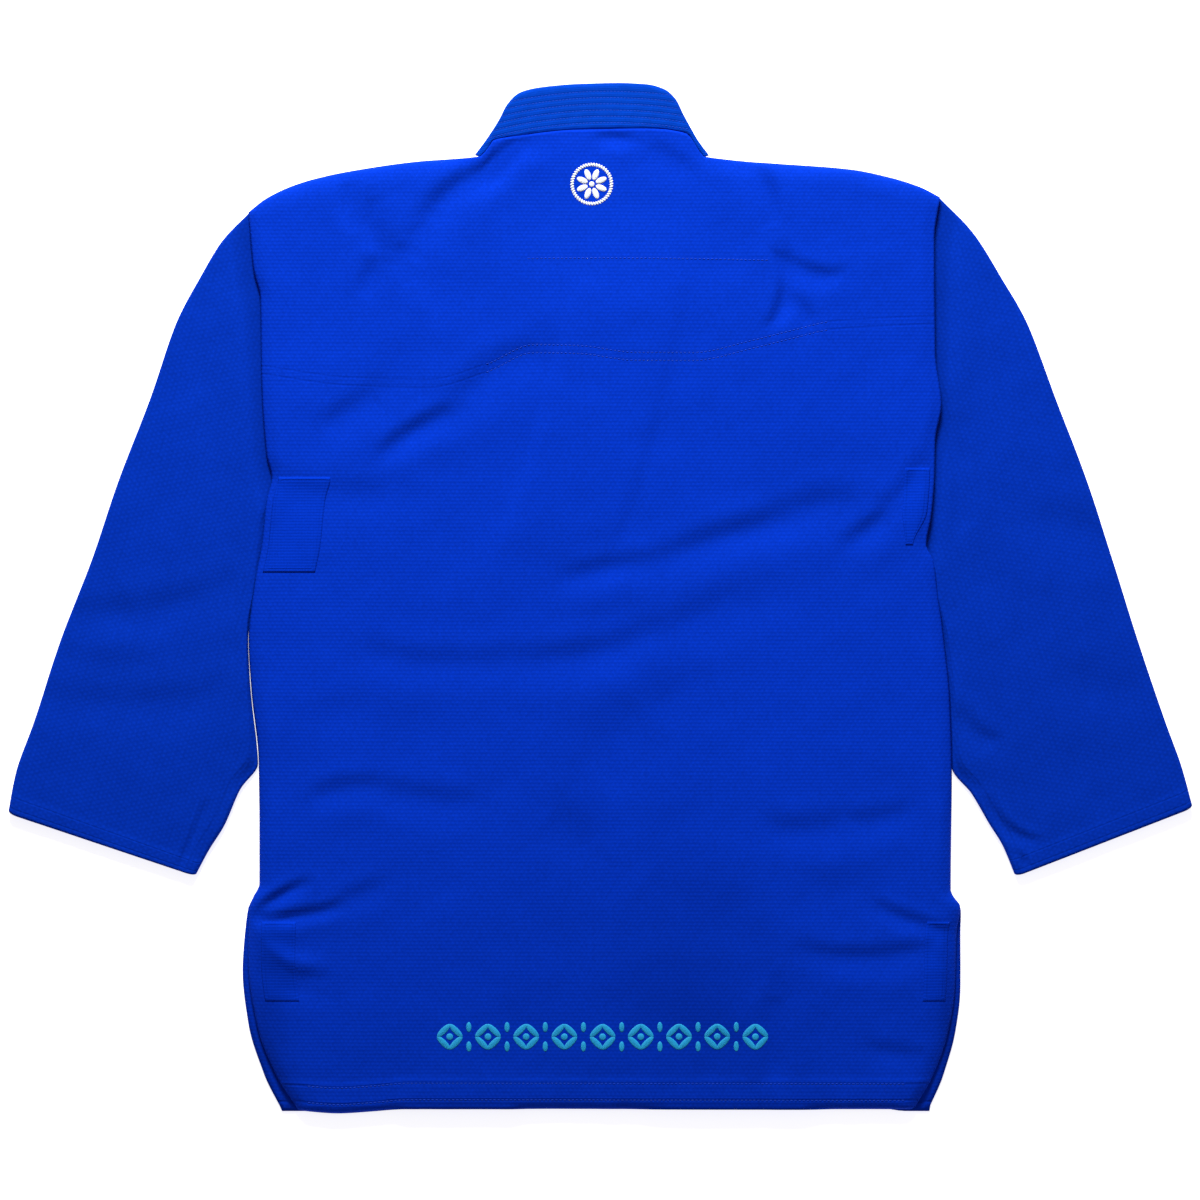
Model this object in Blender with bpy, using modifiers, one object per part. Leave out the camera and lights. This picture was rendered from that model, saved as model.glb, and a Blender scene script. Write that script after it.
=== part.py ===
"""A jiu-jitsu gi jacket laid face down and flat, with its back up and its sleeves lowered.

X runs across the jacket (the wearer's left is at -X), Y up it towards the collar and Z up off the
surface it lies on. Lengths are in millimetres, and MM turns them into metres. The left front is the
lowest layer, the right front crosses over it, and the back lies on both.
"""

import math

import bmesh
import bpy
import numpy as np

MM = 0.001

# Driving sizes
CLOTH = 1.6  # one wall of pearl-weave cotton
SEAM_GAP = 0.3  # between pieces that are sewn together
LAYER_GAP = 0.4  # between cloth lying on cloth
LAPEL_WIDTH = 46.0
LAPEL_THICKNESS = 4.5
BAND_THICKNESS = 5.5  # the padded strip at the back of the neck
BAND_RIDGES = 7
RIDGE_HEIGHT = 0.6
PATCH_THICKNESS = 1.0
BACK_HEIGHT = 9.8  # top of the back where it lies open
RIM_HEIGHT = 3.8  # top of the back at its hem, sides and shoulders
ARMHOLE_HEIGHT = 6.6  # top of the back along an armhole
NECK_HEIGHT = 5.0
SLEEVE_HEIGHT = 6.6
SLEEVE_MOUTH = 4.4  # height of a sleeve where it is tucked under the back
SLEEVE_TUCK = 5.0
SIDE_GAP = 1.2  # between a sleeve's inner edge and the side of the body

# Edge of the back, from the hem up: height Y, then X
BACK_LEFT = (
    (-451, -264), (-418, -285), (-374, -301.5), (-319, -309), (-275, -308), (-262, -304), (-252, -299),
    (-196, -299), (-143, -299.6), (-81, -306), (-37, -308.4), (17, -302.3), (45, -297), (86, -292.6),
    (105, -288), (125, -292.6), (191, -297), (262, -298), (288, -304), (338, -308.4),
)
BACK_RIGHT = (
    (-449, 276), (-420, 292.6), (-382, 306), (-344, 312), (-294, 313.7), (-272, 317), (-264, 312),
    (-258, 308.4), (-152, 309.3), (-90, 307.6), (-36, 302.3), (4, 297), (33, 292.6), (46, 286.4),
    (72, 290.8), (105, 293.5), (139, 294.4), (169, 299.6), (214, 294.4), (315, 293.5), (352, 298.8),
)
# How far a front's skirt shows beyond the back's below the vent: height Y, then width
FLARE_LEFT = ((-452, 15.4), (-407, 9.5), (-330, 5.5), (-284, 2.5), (-262, 0))
FLARE_RIGHT = ((-452, 14), (-404, 8), (-344, 5.2), (-294, 3.5), (-272, 0.5), (-262, 0))
# Hem of the back and the two shoulder lines: X, then height Y
HEM = ((-264, -450.5), (-229, -452.8), (-198, -451), (-168, -448.6), (276, -449.2))
SHOULDER_LEFT = (
    (-308.4, 338.4), (-293.5, 349.8), (-273, 360.4), (-252, 367.4), (-220, 374.4), (-159, 383.2),
    (-105, 387.3),
)
SHOULDER_RIGHT = (
    (91.5, 387.3), (140, 382.4), (220, 376.2), (255, 369), (281, 360.4), (298.8, 351.6),
)
# Neck band, from the left: its seam's X and Y, then its free edge's X and Y
NECK = (
    (-105, 387.3, -109.8, 389.0), (-98.5, 394.0, -100.5, 401.5), (-92.8, 401.7, -88.4, 420.2),
    (-84, 403.6, -81.4, 433.4), (-71, 405.3, -70, 444), (-50, 408.3, -49, 449.2),
    (-20, 411, -21, 451.8), (15, 411.6, 16, 452.8), (40, 411.8, 40, 451.6), (56, 411.2, 57, 446.8),
    (67, 409.6, 66.5, 438.5), (77, 407, 74.5, 423), (84.5, 397, 87, 401), (91.5, 387.3, 96.2, 388.6),
)
# Centre line of each lapel: height Y, then X
LAPEL_LEFT = (
    (-446, 118), (-320, 116), (-200, 108), (-100, 85), (20, 40), (135, 0), (260, -36), (350, -62),
    (402, -80),
)
LAPEL_RIGHT = (
    (-446, -124), (-320, -122), (-200, -115), (-100, -92), (20, -48), (135, -8), (260, 24), (350, 46),
    (402, 66),
)
# Sleeves, from armhole to cuff: overarm fold X and Y, then underarm edge X and Y
SLEEVE_LEFT = (
    (-308.4, 338.4, -301.5, 20), (-331, 314.6, -306, -8), (-352.4, 279.4, -309.6, -37),
    (-371, 244.2, -308.5, -66), (-395.6, 173.8, -306, -96), (-422.8, 103.4, -302.5, -125),
    (-446.6, 33, -301, -146), (-473.9, -37.4, -316.4, -168.5), (-496.8, -107.8, -330.4, -200.2),
    (-513.5, -155, -344, -222), (-520, -189.5, -356, -244.5),
)
SLEEVE_RIGHT = (
    (298.8, 351.6, 292.5, 33), (328, 321, 297, 4), (354.2, 279.4, 300, -20), (374.4, 244.2, 302.8, -40),
    (401.3, 173.8, 306, -75), (428.1, 103.4, 308.5, -110), (451, 33, 309.5, -147),
    (473, -37.4, 327.8, -172.9), (496.8, -107.8, 343, -199), (512, -150, 354.2, -217),
    (521.3, -184.5, 366, -245),
)

# Folds: start X and Y, end X and Y, sideways bow, half width, depth (a ridge is below zero)
BACK_FOLDS = (
    (-60, 404, -150, 328, 5, 12, 3.0), (136, 384, 150, 236, -6, 12, 2.4),
    (-192, 122, -50, 220, -8, 15, 2.0), (-250, 140, -196, 180, 0, 14, 1.4),
    (-60, 14, 226, 76, -12, 17, 2.8), (-60, -6, 190, 44, -12, 20, -1.2),
    (232, 40, 282, 90, 0, 14, 1.8), (-200, -44, 96, -24, 12, 18, 1.8),
    (-252, -168, -138, -180, 0, 16, 1.6), (-6, -156, 96, -84, 0, 38, 1.6),
    (24, -250, 166, -350, 0, 48, 1.8), (136, -206, 268, -190, 8, 17, 1.6),
    (170, -314, 300, -304, 10, 15, 1.8), (-306, -281, -226, -264, 4, 9, 1.8),
    (-304, -292, -240, -318, 10, 11, -1.4), (148, -356, 150, -424, 0, 12, 1.2),
)
SLEEVE_FOLDS = (
    (-470, -20, -318, 10, 10, 18, 1.4), (-494, -92, -330, -84, 8, 17, 1.3),
    (-350, 230, -330, 60, 0, 16, 0.8), (370, 66, 462, 44, -8, 18, 1.3),
    (318, -100, 350, -130, 6, 14, 1.2), (330, 290, 322, 60, 0, 15, 1.2),
    (400, -60, 480, -90, 6, 18, 1.0),
)

# Rows and columns of the walls
ARMHOLE_ROWS = 10
SIDE_ROWS = 10
VENT_ROWS = 9
EDGE_STEPS = (0.0, 0.008, 0.022, 0.045)  # columns close to a side, as parts of the width
SHOULDER_STEPS = (0.09, 0.14, 0.2, 0.26, 0.31)
FRONT_COLUMNS = (0, 0.016, 0.05, 0.14, 0.26, 0.4, 0.56, 0.72, 0.86, 1)
LAPEL_STATIONS = 20
SLEEVE_STATIONS = 14
ARMPIT_LEFT = 20
ARMPIT_RIGHT = 33
VENT_TOP = -262
PLATEAU_MARGIN = 32  # a layer stays level this far past what it crosses
RAMP = 45
FOLD_DEPTH = 2.4  # how far the round fold at a sleeve's edge reaches in
ROUND_END = ((0.7, 0.2), (0, 0.5), (0.7, 0.8))  # set-back from the edge, then part of the height

BLUE = (0.004, 0.035, 0.42)
BAND_BLUE = (0.004, 0.05, 0.47)
PATCH_BLUE = (0.004, 0.03, 0.36)
CLOTH_ROUGHNESS = 0.85


def smooth(table):
    """A function of the table's first column that runs smoothly through its rows, with no overshoot."""
    keys, values = np.array(table, float).T
    slopes = np.diff(values) / np.diff(keys)
    tangents = np.concatenate([slopes[:1], (slopes[:-1] + slopes[1:]) / 2, slopes[-1:]])
    turns = slopes[:-1] * slopes[1:]
    tangents[1:-1] = np.where(turns > 0, 2 * turns / (slopes[:-1] + slopes[1:] + (turns <= 0)), 0)

    def at(key):
        key = np.clip(key, keys[0], keys[-1])
        row = np.clip(np.searchsorted(keys, key, side="right") - 1, 0, len(slopes) - 1)
        span = keys[row + 1] - keys[row]
        t = (key - keys[row]) / span
        rise = values[row + 1] - values[row]
        bend = t * (1 - t) ** 2 * tangents[row] - t * t * (1 - t) * tangents[row + 1]
        return values[row] + rise * t * t * (3 - 2 * t) + bend * span

    return at


def ramp(start, end, value):
    """0 before start and 1 past end, with a smooth rise between."""
    t = np.clip((value - start) / (end - start), 0, 1)
    return t * t * (3 - 2 * t)


def higher(a, b, softness=0.8):
    """The higher of two heights, rounded where they cross and never below either."""
    return (a + b + np.sqrt((a - b) ** 2 + softness**2)) / 2


back_left = smooth(BACK_LEFT)
back_right = smooth(BACK_RIGHT)
flare_left = smooth(FLARE_LEFT)
flare_right = smooth(FLARE_RIGHT)
hem = smooth(HEM)
lapel_left = smooth(LAPEL_LEFT)
lapel_right = smooth(LAPEL_RIGHT)
top_line = smooth(SHOULDER_LEFT[:-1] + tuple(row[:2] for row in NECK) + SHOULDER_RIGHT[1:])


def folds(table, x, y):
    """Height that the table's folds add at a point."""
    height = 0.0
    for x0, y0, x1, y1, bow, width, depth in table:
        length = math.hypot(x1 - x0, y1 - y0)
        along = ((x - x0) * (x1 - x0) + (y - y0) * (y1 - y0)) / length**2
        across = ((x - x0) * (y1 - y0) - (y - y0) * (x1 - x0)) / length
        inside = np.clip(along, 0, 1)
        past = (along - inside) * length
        offset = np.hypot(across - bow * 4 * inside * (1 - inside), past)
        fade = 0.25 + 0.75 * np.sqrt(4 * inside * (1 - inside))
        height = height - depth * fade * np.exp(-((offset / width) ** 2))
    return height


def from_lapel(centre_line, x, y):
    """Distance across a lapel from its centre line, positive towards +X."""
    lean = (centre_line(y + 1) - centre_line(y - 1)) / 2
    return (x - centre_line(y)) / np.sqrt(1 + lean**2)


def crossing(y):
    """1 where the right lapel lies on the left one, falling to 0 above and below."""
    apart = np.abs(lapel_left(y) - lapel_right(y))
    return 1 - ramp(LAPEL_WIDTH * 1.15, LAPEL_WIDTH * 2.3, apart)


def right_front_top(x, y):
    """Top of the right front: on the surface at the right, and up over the left lapel and left front."""
    across = from_lapel(lapel_left, x, y)
    reach = LAPEL_WIDTH / 2 + PLATEAU_MARGIN
    on_front = 1 - ramp(reach, reach + RAMP, across)
    on_lapel = 1 - ramp(reach, reach + RAMP, np.abs(across))
    rise = CLOTH + LAYER_GAP
    return CLOTH + rise * on_front + (LAPEL_THICKNESS - CLOTH) * on_lapel


def right_lapel_bottom(y):
    """Underside of the right lapel: on the surface at the neck, then over the left lapel and front."""
    below = lapel_left(y) > lapel_right(y)
    on_front = np.where(below, 1.0, crossing(y)) * (CLOTH + LAYER_GAP)
    return on_front + crossing(y) * (LAPEL_THICKNESS - CLOTH)


def support(x, y):
    """Highest point of what lies under the back."""
    reach = LAPEL_WIDTH / 2 + PLATEAU_MARGIN / 2
    left = np.abs(from_lapel(lapel_left, x, y))
    right = np.abs(from_lapel(lapel_right, x, y))
    lapel = LAPEL_THICKNESS * (1 - ramp(reach, reach + RAMP, left))
    upper = (right_lapel_bottom(y) + LAPEL_THICKNESS) * (1 - ramp(reach, reach + RAMP, right))
    front = np.where(from_lapel(lapel_right, x, y) > 0, right_front_top(x, y), CLOTH)
    return higher(higher(lapel, upper), higher(front, CLOTH))


def rolled(distance, width, rim, top):
    """Height of cloth that rises from a rim to its full height, round like a quarter ellipse."""
    inward = 1 - np.clip(distance / width, 0, 1)
    return rim + (top - rim) * np.sqrt(1 - inward**2)


def side_rim(y, armpit):
    return RIM_HEIGHT + (ARMHOLE_HEIGHT - RIM_HEIGHT) * ramp(armpit - 40, armpit + 10, y)


def side_roll(y):
    """Width of the round side of the back, which is wider beside the vents."""
    return 14 + 16 * ramp(VENT_TOP + 10, VENT_TOP - 40, y)


def back_top(x, y):
    """Top of the back panel."""
    neck = ramp(120, 60, np.abs(x + 6)) * ramp(250, 400, y)
    open_height = BACK_HEIGHT + (NECK_HEIGHT - BACK_HEIGHT) * neck
    left = rolled(x - back_left(y), side_roll(y), side_rim(y, ARMPIT_LEFT), open_height)
    right = rolled(back_right(y) - x, side_roll(y), side_rim(y, ARMPIT_RIGHT), open_height)
    lower = rolled(y - hem(x), 9, RIM_HEIGHT, open_height)
    from_tip = np.minimum(x - SHOULDER_LEFT[0][0], SHOULDER_RIGHT[-1][0] - x)
    shoulder_rim = RIM_HEIGHT + (ARMHOLE_HEIGHT - RIM_HEIGHT) * ramp(50, 15, from_tip)
    shoulder_rim = shoulder_rim + (open_height - RIM_HEIGHT) * neck
    upper = rolled(top_line(x) - y, 18, shoulder_rim, open_height)
    wanted = np.minimum(np.minimum(left, right), np.minimum(lower, upper))
    ease = ramp(0, 12, np.minimum(x - back_left(y), back_right(y) - x))
    wanted = wanted + folds(BACK_FOLDS, x, y) * (0.4 + 0.6 * ease)
    return higher(wanted, support(x, y) + LAYER_GAP + CLOTH)


def sleeve_top(x, y, from_mouth, part):
    """Top of a sleeve at a part of its length from the armhole and a distance in from its mouth."""
    level = SLEEVE_MOUTH + (SLEEVE_HEIGHT - SLEEVE_MOUTH) * ramp(0, 45, from_mouth)
    return level + folds(SLEEVE_FOLDS, x, y) * ramp(0.0, 0.12, part)


def patch_points(bottom, top, left, right, columns, rows):
    """Points of a sheet whose four edges are given as lists of X and Y, rows from the bottom up."""
    u = np.array(columns)[None, :, None]
    v = np.array(rows)[:, None, None]
    bottom, top = np.array(bottom)[None], np.array(top)[None]
    left, right = np.array(left)[:, None], np.array(right)[:, None]
    corners = (1 - u) * (1 - v) * bottom[:, :1] + u * (1 - v) * bottom[:, -1:]
    corners = corners + (1 - u) * v * top[:, :1] + u * v * top[:, -1:]
    return (1 - v) * bottom + v * top + (1 - u) * left + u * right - corners


def material(name, colour):
    found = bpy.data.materials.new(name)
    found.use_nodes = True
    shader = found.node_tree.nodes["Principled BSDF"]
    shader.inputs["Base Color"].default_value = (*colour, 1)
    shader.inputs["Roughness"].default_value = CLOTH_ROUGHNESS
    shader.inputs["Metallic"].default_value = 0
    return found


def loft(name, rows, colour, closed=False, capped=False, looped=False):
    """An object whose faces join each row of points to the next. A closed row ends where it starts,
    capped fills the first and last rows, and looped joins the last row back to the first."""
    mesh = bmesh.new()
    grid = [[mesh.verts.new(np.array(point) * MM) for point in row] for row in rows]
    for low, high in zip(grid, grid[1:] + grid[:1] * looped):
        cells = list(zip(low, low[1:], high[1:], high))
        if closed:
            cells.append((low[-1], low[0], high[0], high[-1]))
        for cell in cells:
            mesh.faces.new(cell)
    if capped:
        mesh.faces.new(grid[0][::-1])
        mesh.faces.new(grid[-1])
    bmesh.ops.recalc_face_normals(mesh, faces=mesh.faces)
    data = bpy.data.meshes.new(name)
    mesh.to_mesh(data)
    mesh.free()
    data.materials.append(material(name + "_cloth", colour))
    made = bpy.data.objects.new(name, data)
    jacket.objects.link(made)
    return made


def wall(made, thickness, side):
    """Gives an open surface its thickness, on the side of its normals (1) or away from them (-1)."""
    solid = made.modifiers.new("wall", "SOLIDIFY")
    solid.thickness = thickness * MM
    solid.offset = side
    solid.use_quality_normals = True


def face_up(made):
    """Turns a sheet's faces so that they look up."""
    if sum(face.normal.z * face.area for face in made.data.polygons) < 0:
        made.data.flip_normals()


def between(first, last, count, ends=True):
    steps = np.linspace(first, last, count + 1)
    return list(steps if ends else steps[:-1])


def side_rows(tip, armpit):
    """Heights of the body's rows at one side: through the vent, up the side and up the armhole."""
    hem_rows = [-451, -444]
    vent = between(-430, VENT_TOP, VENT_ROWS, ends=False)
    side = between(VENT_TOP, armpit, SIDE_ROWS, ends=False)
    armhole = between(armpit, tip, ARMHOLE_ROWS)
    return np.array(hem_rows + vent + side + armhole)


def edge_points(edge, heights):
    return [(float(edge(y)), y) for y in heights]


def make_back():
    left_heights = side_rows(SHOULDER_LEFT[0][1], ARMPIT_LEFT)
    right_heights = side_rows(SHOULDER_RIGHT[-1][1], ARMPIT_RIGHT)
    left_heights[0] = hem(BACK_LEFT[0][1])
    right_heights[0] = hem(BACK_RIGHT[0][1])
    start, end = SHOULDER_LEFT[0][0], SHOULDER_RIGHT[-1][0]
    neck = [(row[0] - start) / (end - start) for row in NECK]
    columns = np.array(EDGE_STEPS + SHOULDER_STEPS + tuple(neck))
    columns = np.concatenate([columns, 1 - np.array(SHOULDER_STEPS[-2::-1]), 1 - np.array(EDGE_STEPS[::-1])])
    top = [(x, float(top_line(x))) for x in start + columns * (end - start)]
    first, last = BACK_LEFT[0][1], BACK_RIGHT[0][1]
    bottom = [(x, float(hem(x))) for x in first + columns * (last - first)]
    low, high = left_heights[0], left_heights[-1]
    rows = (left_heights - low) / (high - low)
    left = edge_points(back_left, left_heights)
    right = edge_points(back_right, right_heights)
    plan = patch_points(bottom, top, left, right, columns, rows)
    x, y = plan[..., 0], plan[..., 1]
    points = np.dstack([x, y, back_top(x, y)])
    back = loft("back_panel", points, BLUE)
    face_up(back)
    wall(back, CLOTH, -1)
    return points


def make_patch(name, points, rows, columns):
    """A doubled piece of cloth on the back, made from the back's own points moved out."""
    along_rows = np.gradient(points, axis=0)
    along_columns = np.gradient(points, axis=1)
    normals = np.cross(along_columns, along_rows)
    normals /= np.linalg.norm(normals, axis=-1, keepdims=True)
    raised = points + normals * LAYER_GAP
    patch = loft(name, raised[rows, columns], PATCH_BLUE)
    face_up(patch)
    wall(patch, PATCH_THICKNESS, 1)


def tuck(part):
    """How far a sleeve's mouth and its front's armhole edge lie under the back, from the armpit up."""
    return SLEEVE_TUCK * ramp(0.0, 0.25, part)


def make_front(name, side, back_edge, flare, lapel, shoulder, armpit, top):
    """A front panel between the side of the body and its lapel. side is -1 at the wearer's left."""
    heights = side_rows(shoulder[0][1] if side < 0 else shoulder[-1][1], armpit)[1:]
    heights[0] = -451.5
    part = np.clip((heights - armpit) / (heights[-1] - armpit), 0, 1)
    outer = back_edge(heights) + side * (flare(heights) - tuck(part))
    outer_edge = list(zip(outer, heights))
    inner_heights = -446 + (heights - heights[0]) / (heights[-1] - heights[0]) * (386 + 446)
    inner = lapel(inner_heights) + side * lapel_reach(lapel, inner_heights)
    inner_edge = list(zip(inner, inner_heights))
    columns = np.array(FRONT_COLUMNS)
    rows = (heights - heights[0]) / (heights[-1] - heights[0])
    corners = (outer_edge[-1], inner_edge[-1])
    top_x = corners[0][0] + columns * (corners[1][0] - corners[0][0])
    top_y = np.array([float(top_line(np.clip(x, shoulder[0][0], shoulder[-1][0]))) for x in top_x]) - 1
    top_y[0], top_y[-1] = corners[0][1], corners[1][1]
    bottom_x = outer_edge[0][0] + columns * (inner_edge[0][0] - outer_edge[0][0])
    bottom_y = heights[0] + ramp(20, 60, np.abs(bottom_x - bottom_x[0])) * (inner_heights[0] - heights[0])
    bottom = list(zip(bottom_x, bottom_y))
    plan = patch_points(bottom, list(zip(top_x, top_y)), outer_edge, inner_edge, columns, rows)
    x, y = plan[..., 0], plan[..., 1]
    front = loft(name, np.dstack([x, y, top(x, y)]), BLUE)
    face_up(front)
    wall(front, CLOTH, -1)


def lapel_reach(centre_line, y):
    """Level distance from a lapel's centre line to the front that is sewn to its edge."""
    lean = (centre_line(y + 1) - centre_line(y - 1)) / 2
    return (LAPEL_WIDTH / 2 + LAYER_GAP) * np.sqrt(1 + lean**2) + SEAM_GAP


def make_lapel(name, centre_line, first, last, bottom):
    """The padded strip down a front edge: one rounded section carried along its centre line."""
    corner = 1.4
    rows = []
    for y in between(first, last, LAPEL_STATIONS):
        lean = float(centre_line(y + 1) - centre_line(y - 1)) / 2
        across = np.array([1, -lean]) / math.hypot(1, lean)
        thickness = LAPEL_THICKNESS - 1.5 * float(ramp(330, 390, y))
        half = LAPEL_WIDTH / 2
        low = float(bottom(y))
        section = [
            (-half + corner, low), (half - corner, low), (half, low + corner),
            (half, low + thickness - corner), (half - corner, low + thickness),
            (0, low + thickness), (-half + corner, low + thickness),
            (-half, low + thickness - corner), (-half, low + corner),
        ]
        centre = np.array([float(centre_line(y)), y])
        rows.append([(*(centre + across * offset), height) for offset, height in section])
    loft(name, rows, BAND_BLUE, closed=True, capped=True)


def make_neck_band():
    """The strip round the back of the neck, with a ridge between each two rows of its stitching."""
    stations = np.array(NECK)
    widths = np.hypot(stations[:, 2] - stations[:, 0], stations[:, 3] - stations[:, 1])
    across = between(0, 1, 2 * BAND_RIDGES)
    rows = []
    for (seam_x, seam_y, edge_x, edge_y), width in zip(stations, widths):
        seam = np.array([seam_x, seam_y])
        edge = np.array([edge_x, edge_y])
        seam = seam + (edge - seam) / width * SEAM_GAP * 2
        corner_lift = float(ramp(30, 62, abs(seam_x + 6)))
        low = corner_lift * (LAPEL_THICKNESS - 1.5 + LAYER_GAP)
        thin = 1.5 * corner_lift
        top = low + BAND_THICKNESS - thin
        fullness = min(1, width / 30)
        section = []
        for index, part in enumerate(across):
            ridge = RIDGE_HEIGHT * fullness * (index % 2)
            round_edge = 1.1 * (1 if index in (0, len(across) - 1) else 0)
            section.append((*(seam + (edge - seam) * part), top + ridge - round_edge))
        section.append((*edge, low + 1.0))
        section.append((*(edge + (seam - edge) * 0.08), low))
        section.append((*(seam + (edge - seam) * 0.08), low))
        section.append((*seam, low + 1.0))
        rows.append(section)
    loft("neck_band", rows, BAND_BLUE, closed=True, capped=True)


def round_end(tip, inward, low, top):
    """Three points round the fold at one end of a flattened ring, from the lower to the upper."""
    return [(*(tip + inward * back), low + (top - low) * part) for back, part in ROUND_END]


def flattened_ring(plan, low, top):
    """A closed ring over a line of plan points, level below, with its own height at each above."""
    along = (plan[-1] - plan[0]) / np.linalg.norm(plan[-1] - plan[0])
    flat = plan.copy()
    flat[0] += along * FOLD_DEPTH
    flat[-1] -= along * FOLD_DEPTH
    lower = [(*point, low) for point in flat]
    upper = [(*point, height) for point, height in zip(flat, top)]
    near = round_end(plan[0], along, low, top[0])
    far = round_end(plan[-1], -along, low, top[-1])
    return lower + far + upper[::-1] + near[::-1]


def make_sleeve(name, side, table, edge, armpit):
    """One sleeve: rings flattened on the surface, from the mouth under the back out to the cuff."""
    table = np.array(table, float)
    keys = np.linspace(0, 1, len(table))
    columns = [smooth(list(zip(keys, table[:, column]))) for column in range(4)]
    parts = np.linspace(0, 1, ARMHOLE_ROWS + 1)
    tip = table[0, 1]
    mouth_y = armpit + parts * (tip - armpit)
    mouth_x = edge(mouth_y) + side * (SEAM_GAP * 2 + SIDE_GAP * (1 - ramp(0, 0.1, parts)) - tuck(parts))
    mouth = np.array([mouth_x, mouth_y]).T
    outer, inner = [], []
    for station in np.linspace(0, 1, SLEEVE_STATIONS):
        over = np.array([columns[0](station), columns[1](station)])
        under = np.array([columns[2](station) + side * SIDE_GAP, columns[3](station)])
        straight = under + parts[:, None] * (over - under)
        blend = (1 - ramp(0, 0.35, station)) if station else 1
        base = mouth[0] + parts[:, None] * (mouth[-1] - mouth[0])
        plan = straight + blend * (mouth - base)
        if station == 0:
            plan = mouth
        from_mouth = np.hypot(*(plan - mouth).T)
        top = sleeve_top(plan[:, 0], plan[:, 1], from_mouth, station)
        outer.append(flattened_ring(plan, 0, top))
        shrink = 1 - 2 * CLOTH / np.linalg.norm(over - under)
        inner_plan = plan.mean(axis=0) + (plan - plan.mean(axis=0)) * shrink
        inner.append(flattened_ring(inner_plan, CLOTH, top - CLOTH))
    loft(name, outer + inner[::-1], BLUE, closed=True, looped=True)


def centre_on_surface():
    """Moves every object so that the jacket's bounding box is centred and its lowest point is at 0."""
    bpy.context.view_layer.update()
    graph = bpy.context.evaluated_depsgraph_get()
    corners = []
    for made in jacket.objects:
        evaluated = made.evaluated_get(graph)
        corners.extend(tuple(corner) for corner in evaluated.bound_box)
    low, high = np.min(corners, axis=0), np.max(corners, axis=0)
    for made in jacket.objects:
        made.location = (-(low[0] + high[0]) / 2, -(low[1] + high[1]) / 2, 0)


for old in list(bpy.data.objects):
    bpy.data.objects.remove(old)
jacket = bpy.data.collections.new("jiu_jitsu_gi_jacket")
bpy.context.scene.collection.children.link(jacket)

back_points = make_back()
row_count = back_points.shape[0]
armpit_row = row_count - 1 - ARMHOLE_ROWS
vent_row = 2 + VENT_ROWS
edge_columns = len(EDGE_STEPS)
make_patch("left_gusset", back_points, slice(armpit_row, armpit_row + 4), slice(1, edge_columns + 1))
make_patch("right_gusset", back_points, slice(armpit_row, armpit_row + 4), slice(-edge_columns, -1))
make_patch("left_vent_patch", back_points, slice(vent_row - 5, vent_row), slice(1, edge_columns + 1))
make_patch("right_vent_patch", back_points, slice(vent_row - 5, vent_row), slice(-edge_columns, -1))
make_front("left_front", -1, back_left, flare_left, lapel_left, SHOULDER_LEFT, ARMPIT_LEFT,
           lambda x, y: np.full_like(x, CLOTH))
make_front("right_front", 1, back_right, flare_right, lapel_right, SHOULDER_RIGHT, ARMPIT_RIGHT,
           right_front_top)
make_lapel("left_lapel", lapel_left, -446, 402, lambda y: 0.0)
make_lapel("right_lapel", lapel_right, -446, 402, right_lapel_bottom)
make_neck_band()
make_sleeve("left_sleeve", -1, SLEEVE_LEFT, back_left, ARMPIT_LEFT)
make_sleeve("right_sleeve", 1, SLEEVE_RIGHT, back_right, ARMPIT_RIGHT)
centre_on_surface()
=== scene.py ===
"""The looks of a jiu-jitsu gi jacket that lies face down and flat, with its back up.

Lengths in the tables are millimetres on the drawing of the jacket: X across it, with the wearer's
left at -X, Y up it towards the collar and Z up off the surface. Each cloth piece is a grid that a
function lays over the form of its solid, with the finer creases, hems and quilting added.
"""

import math

import bmesh
import bpy
import numpy as np
from mathutils import Matrix, Vector


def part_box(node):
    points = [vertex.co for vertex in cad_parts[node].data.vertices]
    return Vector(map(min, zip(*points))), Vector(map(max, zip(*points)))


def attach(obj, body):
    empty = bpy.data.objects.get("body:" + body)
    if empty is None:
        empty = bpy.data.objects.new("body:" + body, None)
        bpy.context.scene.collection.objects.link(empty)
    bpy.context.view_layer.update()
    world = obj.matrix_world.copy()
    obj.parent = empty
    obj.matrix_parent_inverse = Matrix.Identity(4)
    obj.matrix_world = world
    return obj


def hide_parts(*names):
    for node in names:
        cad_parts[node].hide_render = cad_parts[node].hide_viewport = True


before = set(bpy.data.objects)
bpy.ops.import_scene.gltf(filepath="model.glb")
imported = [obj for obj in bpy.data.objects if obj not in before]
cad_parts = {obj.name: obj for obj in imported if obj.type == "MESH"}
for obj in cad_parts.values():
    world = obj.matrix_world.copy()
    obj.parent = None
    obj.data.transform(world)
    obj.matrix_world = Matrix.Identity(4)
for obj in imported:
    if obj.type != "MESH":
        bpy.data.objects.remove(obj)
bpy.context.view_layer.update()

MM = 0.001

# Sizes shared with the solids
CLOTH = 1.6
SEAM_GAP = 0.3
LAYER_GAP = 0.4
LAPEL_WIDTH = 46.0
LAPEL_THICKNESS = 4.5
BAND_THICKNESS = 5.5
BACK_HEIGHT = 9.8
RIM_HEIGHT = 3.8
ARMHOLE_HEIGHT = 6.6
RIGHT_ARMHOLE_HEIGHT = 9.0
NECK_MIDDLE = -6
SIDE_ROLL = 14
VENT_ROLL = 16
HEM_ROLL = 9
SHOULDER_ROLL = 18
NECK_HEIGHT = 5.0
SLEEVE_HEIGHT = 6.6
SLEEVE_MOUTH = 4.4
SLEEVE_TUCK = 5.0
PLATEAU_MARGIN = 32
RAMP = 45
VENT_TOP = -262
ARMPIT_LEFT = 20
ARMPIT_RIGHT = 33

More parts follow.
